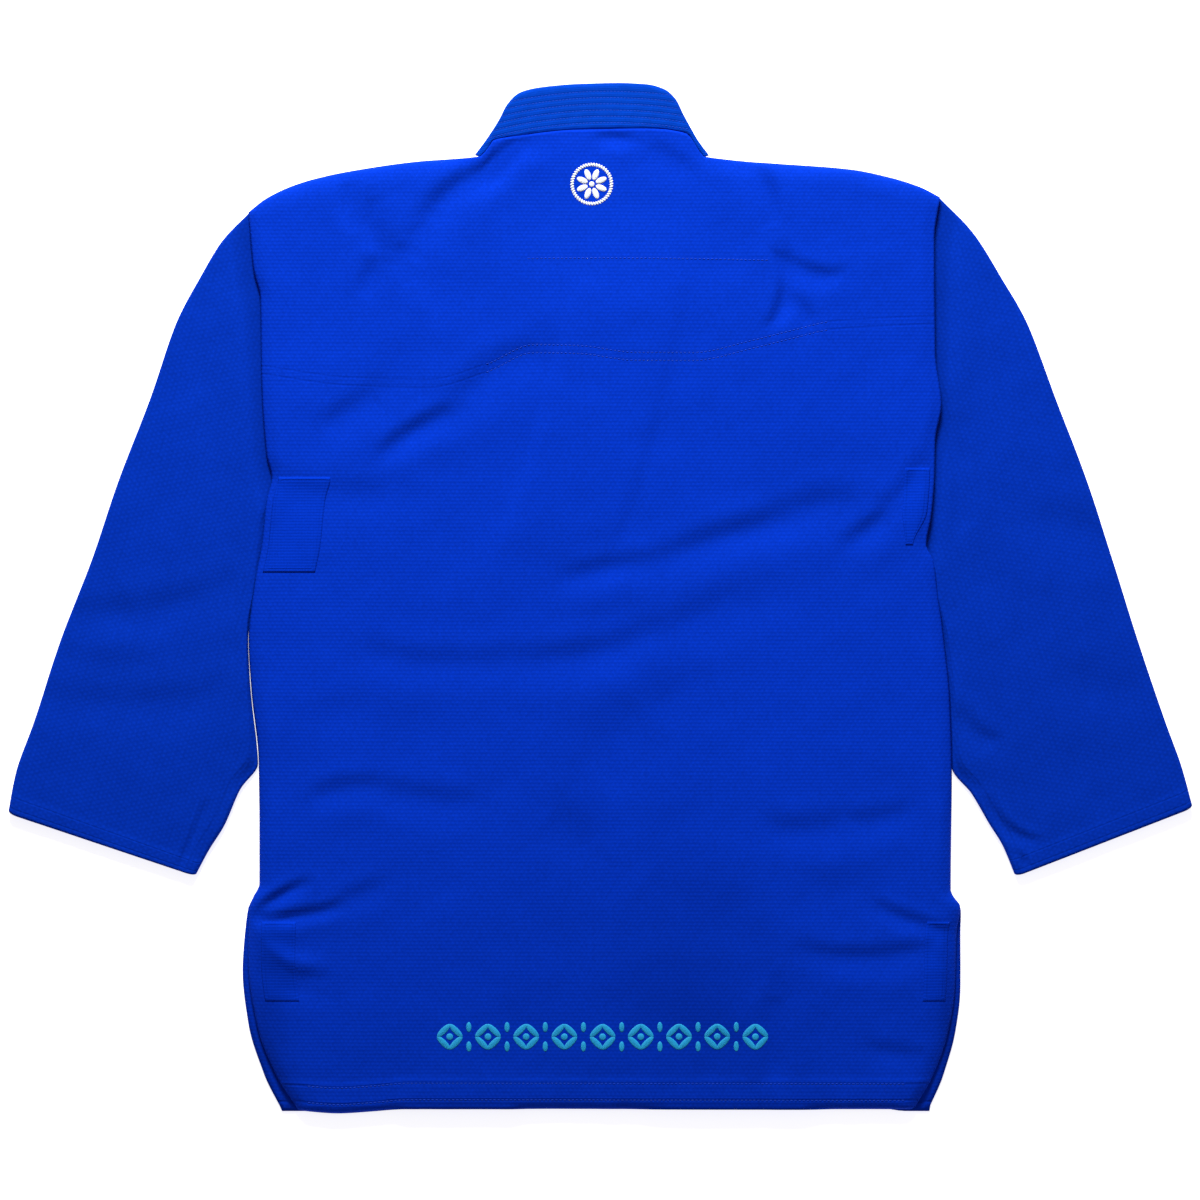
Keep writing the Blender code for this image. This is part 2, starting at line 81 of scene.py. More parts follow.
# Edge of the back, from the hem up: height Y, then X
BACK_LEFT = (
    (-451, -264), (-418, -285), (-374, -301.5), (-319, -309), (-275, -308), (-262, -304), (-252, -299),
    (-196, -299), (-143, -299.6), (-81, -306), (-37, -308.4), (17, -302.3), (45, -297), (86, -292.6),
    (105, -288), (125, -292.6), (191, -297), (262, -298), (288, -304), (338, -308.4),
)
BACK_RIGHT = (
    (-449, 276), (-420, 292.6), (-382, 306), (-344, 312), (-294, 313.7), (-272, 317), (-264, 312),
    (-258, 308.4), (-152, 309.3), (-90, 307.6), (-36, 302.3), (4, 297), (33, 292.6), (46, 286.4),
    (72, 290.8), (105, 293.5), (139, 294.4), (169, 299.6), (214, 294.4), (315, 293.5), (352, 298.8),
)
# How far a front's skirt shows beyond the back's below the vent: height Y, then width
FLARE_LEFT = ((-452, 15.4), (-407, 9.5), (-330, 5.5), (-284, 2.5), (-262, 0))
FLARE_RIGHT = ((-452, 14), (-404, 8), (-344, 5.2), (-294, 3.5), (-272, 0.5), (-262, 0))
# Hem of the back and the two shoulder lines: X, then height Y
HEM = ((-264, -450.5), (-229, -452.8), (-198, -451), (-168, -448.6), (276, -449.2))
SHOULDER_LEFT = (
    (-308.4, 338.4), (-293.5, 349.8), (-273, 360.4), (-252, 367.4), (-220, 374.4), (-159, 383.2),
    (-105, 387.3),
)
SHOULDER_RIGHT = (
    (91.5, 387.3), (140, 382.4), (220, 376.2), (255, 369), (281, 360.4), (298.8, 351.6),
)
# Neck band, from the left: its seam's X and Y, then its free edge's X and Y
NECK = (
    (-105, 387.3, -109.8, 389.0), (-98.5, 394.0, -100.5, 401.5), (-92.8, 401.7, -88.4, 420.2),
    (-84, 403.6, -81.4, 433.4), (-71, 405.3, -70, 444), (-50, 408.3, -49, 449.2),
    (-20, 411, -21, 451.8), (15, 411.6, 16, 452.8), (40, 411.8, 40, 451.6), (56, 411.2, 57, 446.8),
    (67, 409.6, 66.5, 438.5), (77, 407, 74.5, 423), (84.5, 397, 87, 401), (91.5, 387.3, 96.2, 388.6),
)
# Centre line of each lapel: height Y, then X
LAPEL_LEFT = (
    (-446, 118), (-320, 116), (-200, 108), (-100, 85), (20, 40), (135, 0), (260, -36), (350, -62),
    (402, -80),
)
LAPEL_RIGHT = (
    (-446, -124), (-320, -122), (-200, -115), (-100, -92), (20, -48), (135, -8), (260, 24), (350, 46),
    (402, 66),
)
# Sleeves, from armhole to cuff: overarm fold X and Y, then underarm edge X and Y
SLEEVE_LEFT = (
    (-308.4, 338.4, -301.5, 20), (-331, 314.6, -306, -8), (-352.4, 279.4, -309.6, -37),
    (-371, 244.2, -308.5, -66), (-395.6, 173.8, -306, -96), (-422.8, 103.4, -302.5, -125),
    (-446.6, 33, -301, -146), (-473.9, -37.4, -316.4, -168.5), (-496.8, -107.8, -330.4, -200.2),
    (-513.5, -155, -344, -222), (-520, -189.5, -356, -244.5),
)
SLEEVE_RIGHT = (
    (298.8, 351.6, 292.5, 33), (328, 321, 297, 4), (354.2, 279.4, 300, -20), (374.4, 244.2, 302.8, -40),
    (401.3, 173.8, 306, -75), (428.1, 103.4, 308.5, -110), (451, 33, 309.5, -147),
    (473, -37.4, 327.8, -172.9), (496.8, -107.8, 343, -199), (512, -150, 354.2, -217),
    (521.3, -184.5, 366, -245),
)

# Lower row of sewing of the reinforcement inside the shoulders: X, then height Y
YOKE = (
    (-295, 196), (-220, 186), (-150, 184), (-99, 198), (-58, 215), (-18, 214), (32, 208), (82, 208),
    (133, 218.5), (171, 228), (202, 235), (290, 240),
)

# Creases: start X and Y, end X and Y, sideways bow, half width, depth (a ridge is below zero)
BACK_CREASES = (
    # from the collar down to the left, and from the right shoulder down
    (-62, 402, -104, 366, 4, 8, 3.4), (-92, 378, -150, 334, 6, 10, 3.0), (-146, 340, -164, 296, 4, 12, 1.6),
    (130, 384, 152, 326, -6, 9, 3.2), (155, 304, 150, 238, -10, 6, 3.0), (163, 300, 214, 284, 8, 7, 1.8),
    (168, 264, 186, 240, 0, 7, 1.4), (45, 396, 78, 374, 0, 9, 1.4), (0, 404, 30, 402, 0, 5, 1.6),
    # short creases at the left shoulder
    (-222, 364, -216, 322, 3, 8, 1.6), (-200, 350, -190, 300, 5, 8, 2.0), (-190, 300, -206, 262, 3, 9, 1.6),
    (-176, 312, -168, 272, 0, 8, 1.2), (-152, 300, -142, 250, 3, 9, 1.0),
    # long diagonals below the yoke
    (-192, 124, -128, 164, -3, 8, 3.0), (-128, 164, -52, 218, -8, 13, 2.0),
    (-242, 148, -196, 180, 0, 11, 2.0),
    (-196, 180, -150, 232, 0, 14, 1.0), (-290, 100, -180, 96, 8, 14, 1.2),
    # the longest fold, under the shoulder blades, and the one to the right armpit
    (-30, 16, 52, 30, -3, 9, 2.4), (52, 30, 150, 64, -2, 12, 3.2), (140, 62, 226, 84, -4, 14, 2.0),
    (-40, -6, 190, 46, -10, 18, -1.2), (214, 44, 252, 72, 0, 8, 2.4), (250, 76, 284, 122, 4, 9, 1.8),
    # soft folds across the waist
    (-206, -50, -80, -54, 6, 11, 1.4), (-80, -54, 40, -34, 8, 12, 2.0), (40, -34, 110, -6, 4, 14, 1.4),
    (-252, -176, -190, -166, -4, 9, 1.8), (-190, -168, -110, -180, 4, 12, 1.6),
    (-270, -110, -200, -92, 0, 16, 0.8),
    (-10, -150, 40, -100, -6, 24, 1.8), (40, -100, 100, -74, -4, 26, 1.4), (-40, -190, -6, -216, 0, 18, 1.4),
    (150, -204, 214, -196, 6, 13, 1.8), (214, -196, 272, -188, 4, 10, 1.4),
    (150, -240, 232, -262, 0, 16, 0.8),
    # broad hollow and its side above the hem
    (40, -250, 150, -330, 0, 42, 2.0), (150, -350, 152, -424, 0, 9, 2.0), (60, -380, 130, -400, 0, 22, 1.0),
    # round the left vent and the right vent
    (-306, -279, -258, -250, -2, 4.5, 2.6), (-305, -281, -228, -270, 3, 4.5, 2.6),
    (-228, -268, -190, -252, 0, 8, 1.2),
    (-304, -290, -246, -320, 12, 8, -1.6), (-300, -300, -240, -336, 12, 9, 1.4),
    (-285, -345, -238, -350, 0, 8, 0.9),
    (242, -270, 308, -294, 2, 6, 2.0), (176, -310, 296, -304, 9, 9, 1.8), (232, -396, 284, -404, 0, 8, 1.0),
)
SLEEVE_CREASES = (
    (-470, -14, -318, 12, 10, 14, 1.6), (-500, -84, -330, -84, 10, 14, 1.4),
    (-350, 230, -326, 60, 0, 16, 0.8),
    (-480, -52, -400, -60, 4, 12, 0.8), (-440, 20, -410, -30, 0, 12, 0.7),
    (312, 340, 306, 200, 3, 7, 0.8), (306, 160, 318, 60, -3, 10, 1.6), (345, 285, 352, 240, 0, 12, 0.8),
    (370, 66, 462, 44, -8, 16, 1.4), (316, -100, 348, -128, 5, 8, 1.8), (330, 60, 350, 10, 0, 14, 0.8),
    (400, -60, 480, -84, 6, 15, 0.9), (342, -178, 384, -214, 8, 5, 1.8), (372, -226, 376, -236, 0, 2.5, 1.4),
    (-346, -180, -370, -238, 0, 3, 1.2),
)

# Painted shade: places where the cloth's colour is darkened to stand in for the shade of hollows and the
# weaker light towards the hem: middle X and Y, half width, half height, share
PAINTED_SHADE_PATCHES = (
    (79, -345, 75, 85, 0.15), (0, -410, 420, 130, 0.10), (-18, -200, 26, 60, 0.06), (44, -116, 50, 45, 0.06),
    (-289, -341, 16, 55, 0.15), (-290, -410, 24, 50, 0.10), (306, -370, 8, 60, 0.18),
    (-190, 306, 16, 30, 0.10),
    (-100, 300, 30, 40, 0.04), (200, 120, 40, 30, 0.04), (150, 330, 8, 40, 0.08),
)

# Numbers of grid columns and rows
BACK_GRID = (216, 210)
FRONT_GRID = (72, 150)
PATCH_GRID = (26, 40)
SLEEVE_ROWS = 132
BAND_ROWS = 150
LAPEL_ROWS = 110
EDGE_CROWDING = 0.4

# How the back's side edge lies on the pressed edge of a sleeve
RIM_ON_SLEEVE = 1.9
SIDE_TOUCH = -0.5
PRESSED_EDGE = 3.4

# How deep creases are against their tables, the ridges beside them, and which way the steeper wall lies
CREASE_DEPTH = 1.05
CREASE_RIDGE = 0.28
CREASE_SPREAD = 1.2
BACK_LIFT = 1.5
STEEP_X, STEEP_Y = -0.3, 0.95

# Hems and rows of sewing
HEM_DEPTH = 26.0
HEM_LIFT = 0.7
CUFF_DEPTH = 24.0
BAND_UNDER = 0.5
BAND_ROW_PITCH = 5.5
BAND_ROW_COUNT = 6
STITCH_PITCH = 3.6
STITCH_FILL = 0.74
STITCH_WIDTH = 0.85
STITCH_HEIGHT = 0.55
CUFF_CORNER = 9.0
SLEEVE_RADIUS = 3.2
LAPEL_RADIUS = 1.9
TOP_THINNING = 1.5
LAPEL_RIDGES = 7
BAND_RADIUS = 1.7
SLEEVE_LENGTH = 560.0
CUFF_RUN = 475

# Weave pitches in metres: along a row, then from row to row
BODY_WEAVE = (0.0039, 0.0033)
SLEEVE_WEAVE = (0.0042, 0.00375)


def smooth(table):
    """A function of the table's first column that runs smoothly through its rows, with no overshoot."""
    keys, values = np.array(table, float).T
    slopes = np.diff(values) / np.diff(keys)
    tangents = np.concatenate([slopes[:1], (slopes[:-1] + slopes[1:]) / 2, slopes[-1:]])
    turns = slopes[:-1] * slopes[1:]
    tangents[1:-1] = np.where(turns > 0, 2 * turns / (slopes[:-1] + slopes[1:] + (turns <= 0)), 0)

    def at(key):
        key = np.clip(key, keys[0], keys[-1])
        row = np.clip(np.searchsorted(keys, key, side="right") - 1, 0, len(slopes) - 1)
        span = keys[row + 1] - keys[row]
        t = (key - keys[row]) / span
        rise = values[row + 1] - values[row]
        bend = t * (1 - t) ** 2 * tangents[row] - t * t * (1 - t) * tangents[row + 1]
        return values[row] + rise * t * t * (3 - 2 * t) + bend * span

    return at


def ramp(start, end, value):
    """0 before start and 1 past end, with a smooth rise between."""
    t = np.clip((value - start) / (end - start), 0, 1)
    return t * t * (3 - 2 * t)


def higher(a, b, softness=0.8):
    """The higher of two heights, rounded where they cross and never below either."""
    return (a + b + np.sqrt((a - b) ** 2 + softness**2)) / 2


back_left = smooth(BACK_LEFT)
back_right = smooth(BACK_RIGHT)
flare_left = smooth(FLARE_LEFT)
flare_right = smooth(FLARE_RIGHT)
hem = smooth(HEM)
yoke_line = smooth(YOKE)
lapel_left = smooth(LAPEL_LEFT)
lapel_right = smooth(LAPEL_RIGHT)
top_line = smooth(SHOULDER_LEFT[:-1] + tuple(row[:2] for row in NECK) + SHOULDER_RIGHT[1:])

# The drawing's place in the frame
shift_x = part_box("left_sleeve")[0].x / MM - SLEEVE_LEFT[-1][0]
shift_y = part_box("neck_band")[1].y / MM - max(row[3] for row in NECK)
DRAWING_ORIGIN = np.array([shift_x, shift_y, 0])


def creases(table, x, y):
    """Height that the table's creases add at a point: each a trough between two low ridges, whose wall
    towards the top of the jacket is the steeper one."""
    height = np.zeros_like(x)
    for x0, y0, x1, y1, bow, width, depth in table:
        length = math.hypot(x1 - x0, y1 - y0)
        along = ((x - x0) * (x1 - x0) + (y - y0) * (y1 - y0)) / length**2
        across = ((x - x0) * (y1 - y0) - (y - y0) * (x1 - x0)) / length
        inside = np.clip(along, 0, 1)
        past = (along - inside) * length
        across = across - bow * 4 * inside * (1 - inside)
        steep_side = 1 if (y1 - y0) * STEEP_X - (x1 - x0) * STEEP_Y > 0 else -1
        width = width * np.where(across * steep_side > 0, 0.75, 1.3)
        offset = np.hypot(across, past) / (width * CREASE_SPREAD)
        fade = 0.25 + 0.75 * np.sqrt(4 * inside * (1 - inside))
        trough = np.exp(-(offset**2)) - CREASE_RIDGE * np.exp(-((offset - 1.7) ** 2))
        height = height - depth * CREASE_DEPTH * fade * trough
    return height


def unevenness(x, y, wavelength):
    """Gentle waves of cloth that was folded and smoothed out by hand, about -1 to 1."""
    height = np.zeros_like(x)
    for wave in range(7):
        angle = wave * 2.399963
        turn = (x * math.cos(angle) + y * math.sin(angle)) / wavelength * (0.8 + 0.09 * wave)
        sway = np.sin((x * math.sin(angle) - y * math.cos(angle)) / wavelength * 0.7 + wave)
        height = height + np.sin(2 * np.pi * turn + 1.3 * sway + 2 * wave)
    return height / 4


def from_lapel(centre_line, x, y):
    """Distance across a lapel from its centre line, positive towards +X."""
    lean = (centre_line(y + 1) - centre_line(y - 1)) / 2
    return (x - centre_line(y)) / np.sqrt(1 + lean**2)


def crossing(y):
    """1 where the right lapel lies on the left one, falling to 0 above and below."""
    apart = np.abs(lapel_left(y) - lapel_right(y))
    return 1 - ramp(LAPEL_WIDTH * 1.15, LAPEL_WIDTH * 2.3, apart)


def left_front_top(x, y):
    return np.full_like(x, CLOTH)


def right_front_top(x, y):
    """Top of the right front: on the surface at the right, and up over the left lapel and left front."""
    across = from_lapel(lapel_left, x, y)
    reach = LAPEL_WIDTH / 2 + PLATEAU_MARGIN
    on_front = 1 - ramp(reach, reach + RAMP, across)
    on_lapel = 1 - ramp(reach, reach + RAMP, np.abs(across))
    return CLOTH + (CLOTH + LAYER_GAP) * on_front + (LAPEL_THICKNESS - CLOTH) * on_lapel


def left_lapel_bottom(y):
    return np.zeros_like(y)


def right_lapel_bottom(y):
    """Underside of the right lapel: on the surface at the neck, then over the left lapel and front."""
    below = lapel_left(y) > lapel_right(y)
    on_front = np.where(below, 1.0, crossing(y)) * (CLOTH + LAYER_GAP)
    return on_front + crossing(y) * (LAPEL_THICKNESS - CLOTH)


def support(x, y):
    """Highest point of what lies under the back."""
    reach = LAPEL_WIDTH / 2 + PLATEAU_MARGIN / 2
    left = np.abs(from_lapel(lapel_left, x, y))
    right = np.abs(from_lapel(lapel_right, x, y))
    lapel = LAPEL_THICKNESS * (1 - ramp(reach, reach + RAMP, left))
    upper = (right_lapel_bottom(y) + LAPEL_THICKNESS) * (1 - ramp(reach, reach + RAMP, right))
    front = np.where(from_lapel(lapel_right, x, y) > 0, right_front_top(x, y), CLOTH)
    return higher(higher(lapel, upper), higher(front, CLOTH))


def rolled(distance, width, rim, top):
    """Height of cloth that rises from a rim to its full height, round like a quarter ellipse."""
    inward = 1 - np.clip(distance / width, 0, 1)
    return rim + (top - rim) * np.sqrt(1 - inward**2)


def side_rim(y, armpit, height):
    """Height of the back's side edge, which lies on the sleeve's edge down to where the two part."""
    beside_sleeve = RIM_HEIGHT + RIM_ON_SLEEVE * ramp(-210, -160, y)
    return beside_sleeve + (height - beside_sleeve) * ramp(armpit - 40, armpit + 10, y)


def side_roll(y):
    """Width of the round side of the back, which is wider beside the vents."""
    return SIDE_ROLL + VENT_ROLL * ramp(VENT_TOP + 10, VENT_TOP - 40, y)


def back_top(x, y):
    """Top of the back panel."""
    neck = ramp(120, 60, np.abs(x - NECK_MIDDLE)) * ramp(250, 400, y)
    open_height = BACK_HEIGHT + (NECK_HEIGHT - BACK_HEIGHT) * neck
    from_left, from_right = x - back_left(y), back_right(y) - x
    left = rolled(from_left, side_roll(y), side_rim(y, ARMPIT_LEFT, ARMHOLE_HEIGHT), open_height)
    right_rim = side_rim(y, ARMPIT_RIGHT, RIGHT_ARMHOLE_HEIGHT)
    right = rolled(from_right, side_roll(y), right_rim, open_height)
    lower = rolled(y - hem(x), HEM_ROLL, RIM_HEIGHT, open_height)
    from_tip = np.minimum(x - SHOULDER_LEFT[0][0], SHOULDER_RIGHT[-1][0] - x)
    shoulder_rim = RIM_HEIGHT + (ARMHOLE_HEIGHT - RIM_HEIGHT) * ramp(50, 15, from_tip)
    shoulder_rim = shoulder_rim + (open_height - RIM_HEIGHT) * neck
    upper = rolled(top_line(x) - y, SHOULDER_ROLL, shoulder_rim, open_height)
    wanted = np.minimum(np.minimum(left, right), np.minimum(lower, upper))
    ease = ramp(0, 12, np.minimum(from_left, from_right))
    lowest = support(x, y) + LAYER_GAP + CLOTH
    flat = higher(wanted, lowest)
    waves = 0.4 * unevenness(x, y, 95) + 0.16 * unevenness(y, x, 38) + 0.06 * unevenness(x, y, 17)
    folded_hem = HEM_LIFT * ramp(HEM_DEPTH + 2, HEM_DEPTH - 1, y - hem(x))
    puckers = 0.18 * folded_hem * np.sin(x / 7.0 + 2 * np.sin(x / 31.0))
    lifted = flat + (waves + BACK_LIFT) * (0.15 + 0.85 * ease)
    creased = lifted + creases(BACK_CREASES, x, y) * (0.4 + 0.6 * ease)
    return higher(creased, lowest, 0.3) + folded_hem + puckers


def crowded(part):
    """Spaces a grid's lines closer together towards both ends."""
    return part - EDGE_CROWDING * np.sin(2 * np.pi * part) / (2 * np.pi)


def patch_plan(u, v, bottom, top, left, right, corners):
    """X and Y in a sheet between four edges, each given at u or v, with its corners from the lower left."""
    plan = []
    for axis in (0, 1):
        (c00, c10), (c01, c11) = [[corner[axis] for corner in pair] for pair in corners]
        corner_part = (1 - u) * (1 - v) * c00 + u * (1 - v) * c10 + (1 - u) * v * c01 + u * v * c11
        edges = (1 - v) * bottom[axis] + v * top[axis] + (1 - u) * left[axis] + u * right[axis]
        plan.append(edges - corner_part)
    return plan


def painted_shade_at(points):
    """Painted shade at points: the factor from 0 to 1 that the cloth's colour is multiplied by, lower in the
    patches.
    """
    tone = np.ones(len(points))
    for x, y, half_width, half_height, share in PAINTED_SHADE_PATCHES:
        away = ((points[:, 0] - x) / half_width) ** 2 + ((points[:, 1] - y) / half_height) ** 2
        tone = tone - share * np.exp(-away)
    return tone


def finish_piece(name, mesh, cloth):
    """Makes an object of a bmesh whose points are in the drawing, in millimetres."""
    bmesh.ops.translate(mesh, vec=Vector(DRAWING_ORIGIN), verts=mesh.verts)
    bmesh.ops.scale(mesh, vec=Vector((MM, MM, MM)), verts=mesh.verts)
    data = bpy.data.meshes.new(name)
    mesh.to_mesh(data)
    mesh.free()
    data.shade_smooth()
    data.materials.append(cloth)
    piece = bpy.data.objects.new(name, data)
    bpy.context.scene.collection.objects.link(piece)
    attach(piece, "root")
    return piece


def laid_grid(name, columns, rows, place, cloth, seamless=False):
    """A grid laid over a form. place turns parts from 0 to 1 into points, cloth UV and distances from
    seams. A seamless grid meets itself all round, like a tube with its wall's inner face."""
    mesh = bmesh.new()
    bmesh.ops.create_grid(mesh, x_segments=columns, y_segments=rows, size=0.5)
    parts = np.array([vert.co[:2] for vert in mesh.verts]) + 0.5
    points, cloth_uv, seams = place(parts[:, 0], parts[:, 1])
    uv_layer = mesh.loops.layers.uv.new("cloth")
    seam_layer = mesh.verts.layers.float_vector.new("seams")
    # The tone attribute holds painted shade: the factor that darkens the cloth's colour in the patches.
    painted_shade_layer = mesh.verts.layers.float.new("tone")
    for vert, point, distances, tone in zip(mesh.verts, points, seams, painted_shade_at(points)):
        vert.co = point
        vert[seam_layer] = distances
        vert[painted_shade_layer] = tone
    for face in mesh.faces:
        for corner in face.loops:
            corner[uv_layer].uv = cloth_uv[corner.vert.index]
    if seamless:
        bmesh.ops.remove_doubles(mesh, verts=mesh.verts, dist=0.01)
        bmesh.ops.recalc_face_normals(mesh, faces=mesh.faces)
    return finish_piece(name, mesh, cloth)


def cloth_wall(piece, thickness=CLOTH):
    wall = piece.modifiers.new("wall", "SOLIDIFY")
    wall.thickness = thickness * MM
    wall.offset = -1
    wall.use_even_offset = False


def back_plan(across, up):
    """Where a point of the back lies, from its parts across and up it."""
    start, end = SHOULDER_LEFT[0], SHOULDER_RIGHT[-1]
    low_x = (BACK_LEFT[0][1], BACK_RIGHT[0][1])
    low_y = (float(hem(low_x[0])), float(hem(low_x[1])))
    left_y = low_y[0] + up * (start[1] - low_y[0])
    right_y = low_y[1] + up * (end[1] - low_y[1])
    top_x = start[0] + across * (end[0] - start[0])
    bottom_x = low_x[0] + across * (low_x[1] - low_x[0])
    corners = (((low_x[0], low_y[0]), (low_x[1], low_y[1])), (start, end))
    return patch_plan(
        across, up, (bottom_x, hem(bottom_x)), (top_x, top_line(top_x)),
        (back_left(left_y), left_y), (back_right(right_y), right_y), corners,
    )


def make_back(cloth):
    def place(across, up):
        x, y = back_plan(crowded(across), crowded(up))
        points = np.stack([x, y, back_top(x, y)], axis=1)
        seams = np.stack([y - hem(x), y - yoke_line(x), top_line(x) - y], axis=1)
        return points, np.stack([x, y], axis=1) * MM, seams

    back = laid_grid("back_cloth", *BACK_GRID, place, cloth)
    cloth_wall(back)
    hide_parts("back_panel")
    return back


def make_patch(name, node, side, edge, inset, width, low, high, cloth, taper=0.0):
    """A doubled piece of cloth sewn on near a side of the back."""
    def place(across, up):
        y = low + up * (high - low)
        narrowing = 1 - taper * ramp(0.45, 0.0, up)
        from_edge = across if side < 0 else 1 - across
        inward = inset + width * (1 - narrowing) / 2 + from_edge * width * narrowing
        x = edge(y) - side * inward
        rim = np.minimum(np.minimum(across, 1 - across) * width, np.minimum(up, 1 - up) * (high - low))
        lift = 0.2 + 0.25 * np.sqrt(np.clip(rim / 2.0, 0, 1))
        ridges = 0.06 * np.abs(np.sin(np.pi * (y - low) / 4.2))
        points = np.stack([x, y, back_top(x, y) + lift + ridges], axis=1)
        seams = np.stack([rim, y - low, inward], axis=1)
        return points, np.stack([x, y], axis=1) * MM, seams

    patch = laid_grid(name, *PATCH_GRID, place, cloth)
    cloth_wall(patch, 0.2)
    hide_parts(node)
    return patch


def tuck(part):
    return SLEEVE_TUCK * ramp(0.0, 0.25, part)


def lapel_reach(centre_line, y):
    """Level distance from a lapel's centre line to the front that is sewn to its edge."""
    lean = (centre_line(y + 1) - centre_line(y - 1)) / 2
    return (LAPEL_WIDTH / 2 + LAYER_GAP) * np.sqrt(1 + lean**2) + SEAM_GAP


FRONT_INSET = 1.2
FRONT_TOP = 386
FRONT_HEM = -451.5
LAPEL_HEM = -446
LAPEL_TOP = 402


def make_front(name, node, side, back_edge, flare, lapel, tip, shoulder, armpit, top, cloth):
    """A front panel between the side of the body and its lapel. side is -1 at the wearer's left."""
    def outer(y):
        part = np.clip((y - armpit) / (tip[1] - armpit), 0, 1)
        return back_edge(y) + side * (flare(y) - tuck(part) - FRONT_INSET * ramp(-262, -240, y))

    def inner(part):
        y = LAPEL_HEM + part * (FRONT_TOP - LAPEL_HEM)
        return lapel(y) + side * lapel_reach(lapel, y), y

    def place(across, up):
        outward = (1 - across) if side < 0 else across
        inward = 1 - outward
        outer_y = FRONT_HEM + up * (tip[1] - FRONT_HEM)
        outer_edge = (outer(outer_y), outer_y)
        inner_edge = inner(up)
        corner = [(float(outer(FRONT_HEM)), FRONT_HEM), inner(0.0), (float(outer(tip[1])), tip[1]), inner(1.0)]
        top_x = corner[2][0] + inward * (corner[3][0] - corner[2][0])
        level = top_line(np.clip(top_x, shoulder[0][0], shoulder[-1][0])) - 1
        top_y = level + (corner[2][1] - level) * ramp(0.03, 0, inward)
        top_y = top_y + (corner[3][1] - top_y) * ramp(0.97, 1, inward)
        bottom_x = corner[0][0] + inward * (corner[1][0] - corner[0][0])
        bottom_y = FRONT_HEM + ramp(20, 60, np.abs(bottom_x - corner[0][0])) * (LAPEL_HEM - FRONT_HEM)
        x, y = patch_plan(inward, up, (bottom_x, bottom_y), (top_x, top_y), outer_edge, inner_edge,
                          ((corner[0], corner[1]), (corner[2], corner[3])))
        points = np.stack([x, y, top(x, y)], axis=1)
        seams = np.stack([y - FRONT_HEM, inward * 200, top_line(x) - y], axis=1)
        return points, np.stack([x, y], axis=1) * MM, seams

    front = laid_grid(name, *FRONT_GRID, place, cloth)
    cloth_wall(front)
    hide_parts(node)
    return front


def section(lower, rounds, upper):
    """How a flattened section goes round: for each column its part across the flat, how far it bulges
    past an edge and its part of the height, from the lower side over and back to the start."""
    turn = np.linspace(-np.pi / 2, np.pi / 2, rounds + 1)[:-1]
    flat_low = np.linspace(0, 1, lower + 1)[:-1]
    flat_high = np.linspace(1, 0, upper + 1)[:-1]
    across = np.concatenate([flat_low, np.ones(rounds), flat_high, np.zeros(rounds), [0]])
    bulge = np.concatenate([np.zeros(lower), np.cos(turn), np.zeros(upper), -np.cos(turn), [0]])
    rise = (1 + np.sin(turn)) / 2
    lift = np.concatenate([np.zeros(lower), rise, np.ones(upper), 1 - rise, [0]])
    return across, bulge, lift


def sleeve_form(side, table, edge, armpit):
    """The plan of a sleeve, as a function of parts along it and from its underarm to its overarm edge."""
    table = np.array(table, float)
    keys = np.linspace(0, 1, len(table))
    over_x, over_y, under_x, under_y = [smooth(list(zip(keys, column))) for column in table.T]
    tip = table[0, 1]

    def mouth(across):
        y = armpit + across * (tip - armpit)
        gap = SEAM_GAP * 2 + (SIDE_TOUCH - SEAM_GAP * 2) * (1 - ramp(0, 0.1, across))
        return np.array([edge(y) + side * (gap - tuck(across)), y])

    def plan(along, across):
        from_side = np.minimum(across, 1 - across) * 170
        corner = CUFF_CORNER * (1 - np.sqrt(1 - (1 - np.clip(from_side / CUFF_CORNER, 0, 1)) ** 2))
        along = along * (1 - 0.55 * corner / SLEEVE_LENGTH)
        over = np.array([over_x(along), over_y(along)])
        under = np.array([under_x(along) + side * SIDE_TOUCH, under_y(along)])
        straight = under + across * (over - under)
        first, last = mouth(np.zeros_like(across)), mouth(np.ones_like(across))
        blend = 1 - ramp(0, 0.35, along)
        return straight + blend * (mouth(across) - (first + across * (last - first)))

    return plan, mouth


def sleeve_top(x, y, from_mouth, along, from_cuff, from_underarm):
    level = SLEEVE_MOUTH + (SLEEVE_HEIGHT - SLEEVE_MOUTH) * ramp(0, 45, from_mouth)
    waves = 0.35 * unevenness(x, y, 80) + 0.14 * unevenness(y, x, 33)
    ease = ramp(0.0, 0.12, along)
    cuff = 0.5 * ramp(CUFF_DEPTH + 2, CUFF_DEPTH - 1, from_cuff)
    top = level + (creases(SLEEVE_CREASES, x, y) + waves) * (0.3 + 0.7 * ease) + cuff
    pressed = (1 - ramp(3, 12, from_underarm)) * (1 - ramp(0.62, 0.75, along))
    return top - pressed * (top - PRESSED_EDGE)


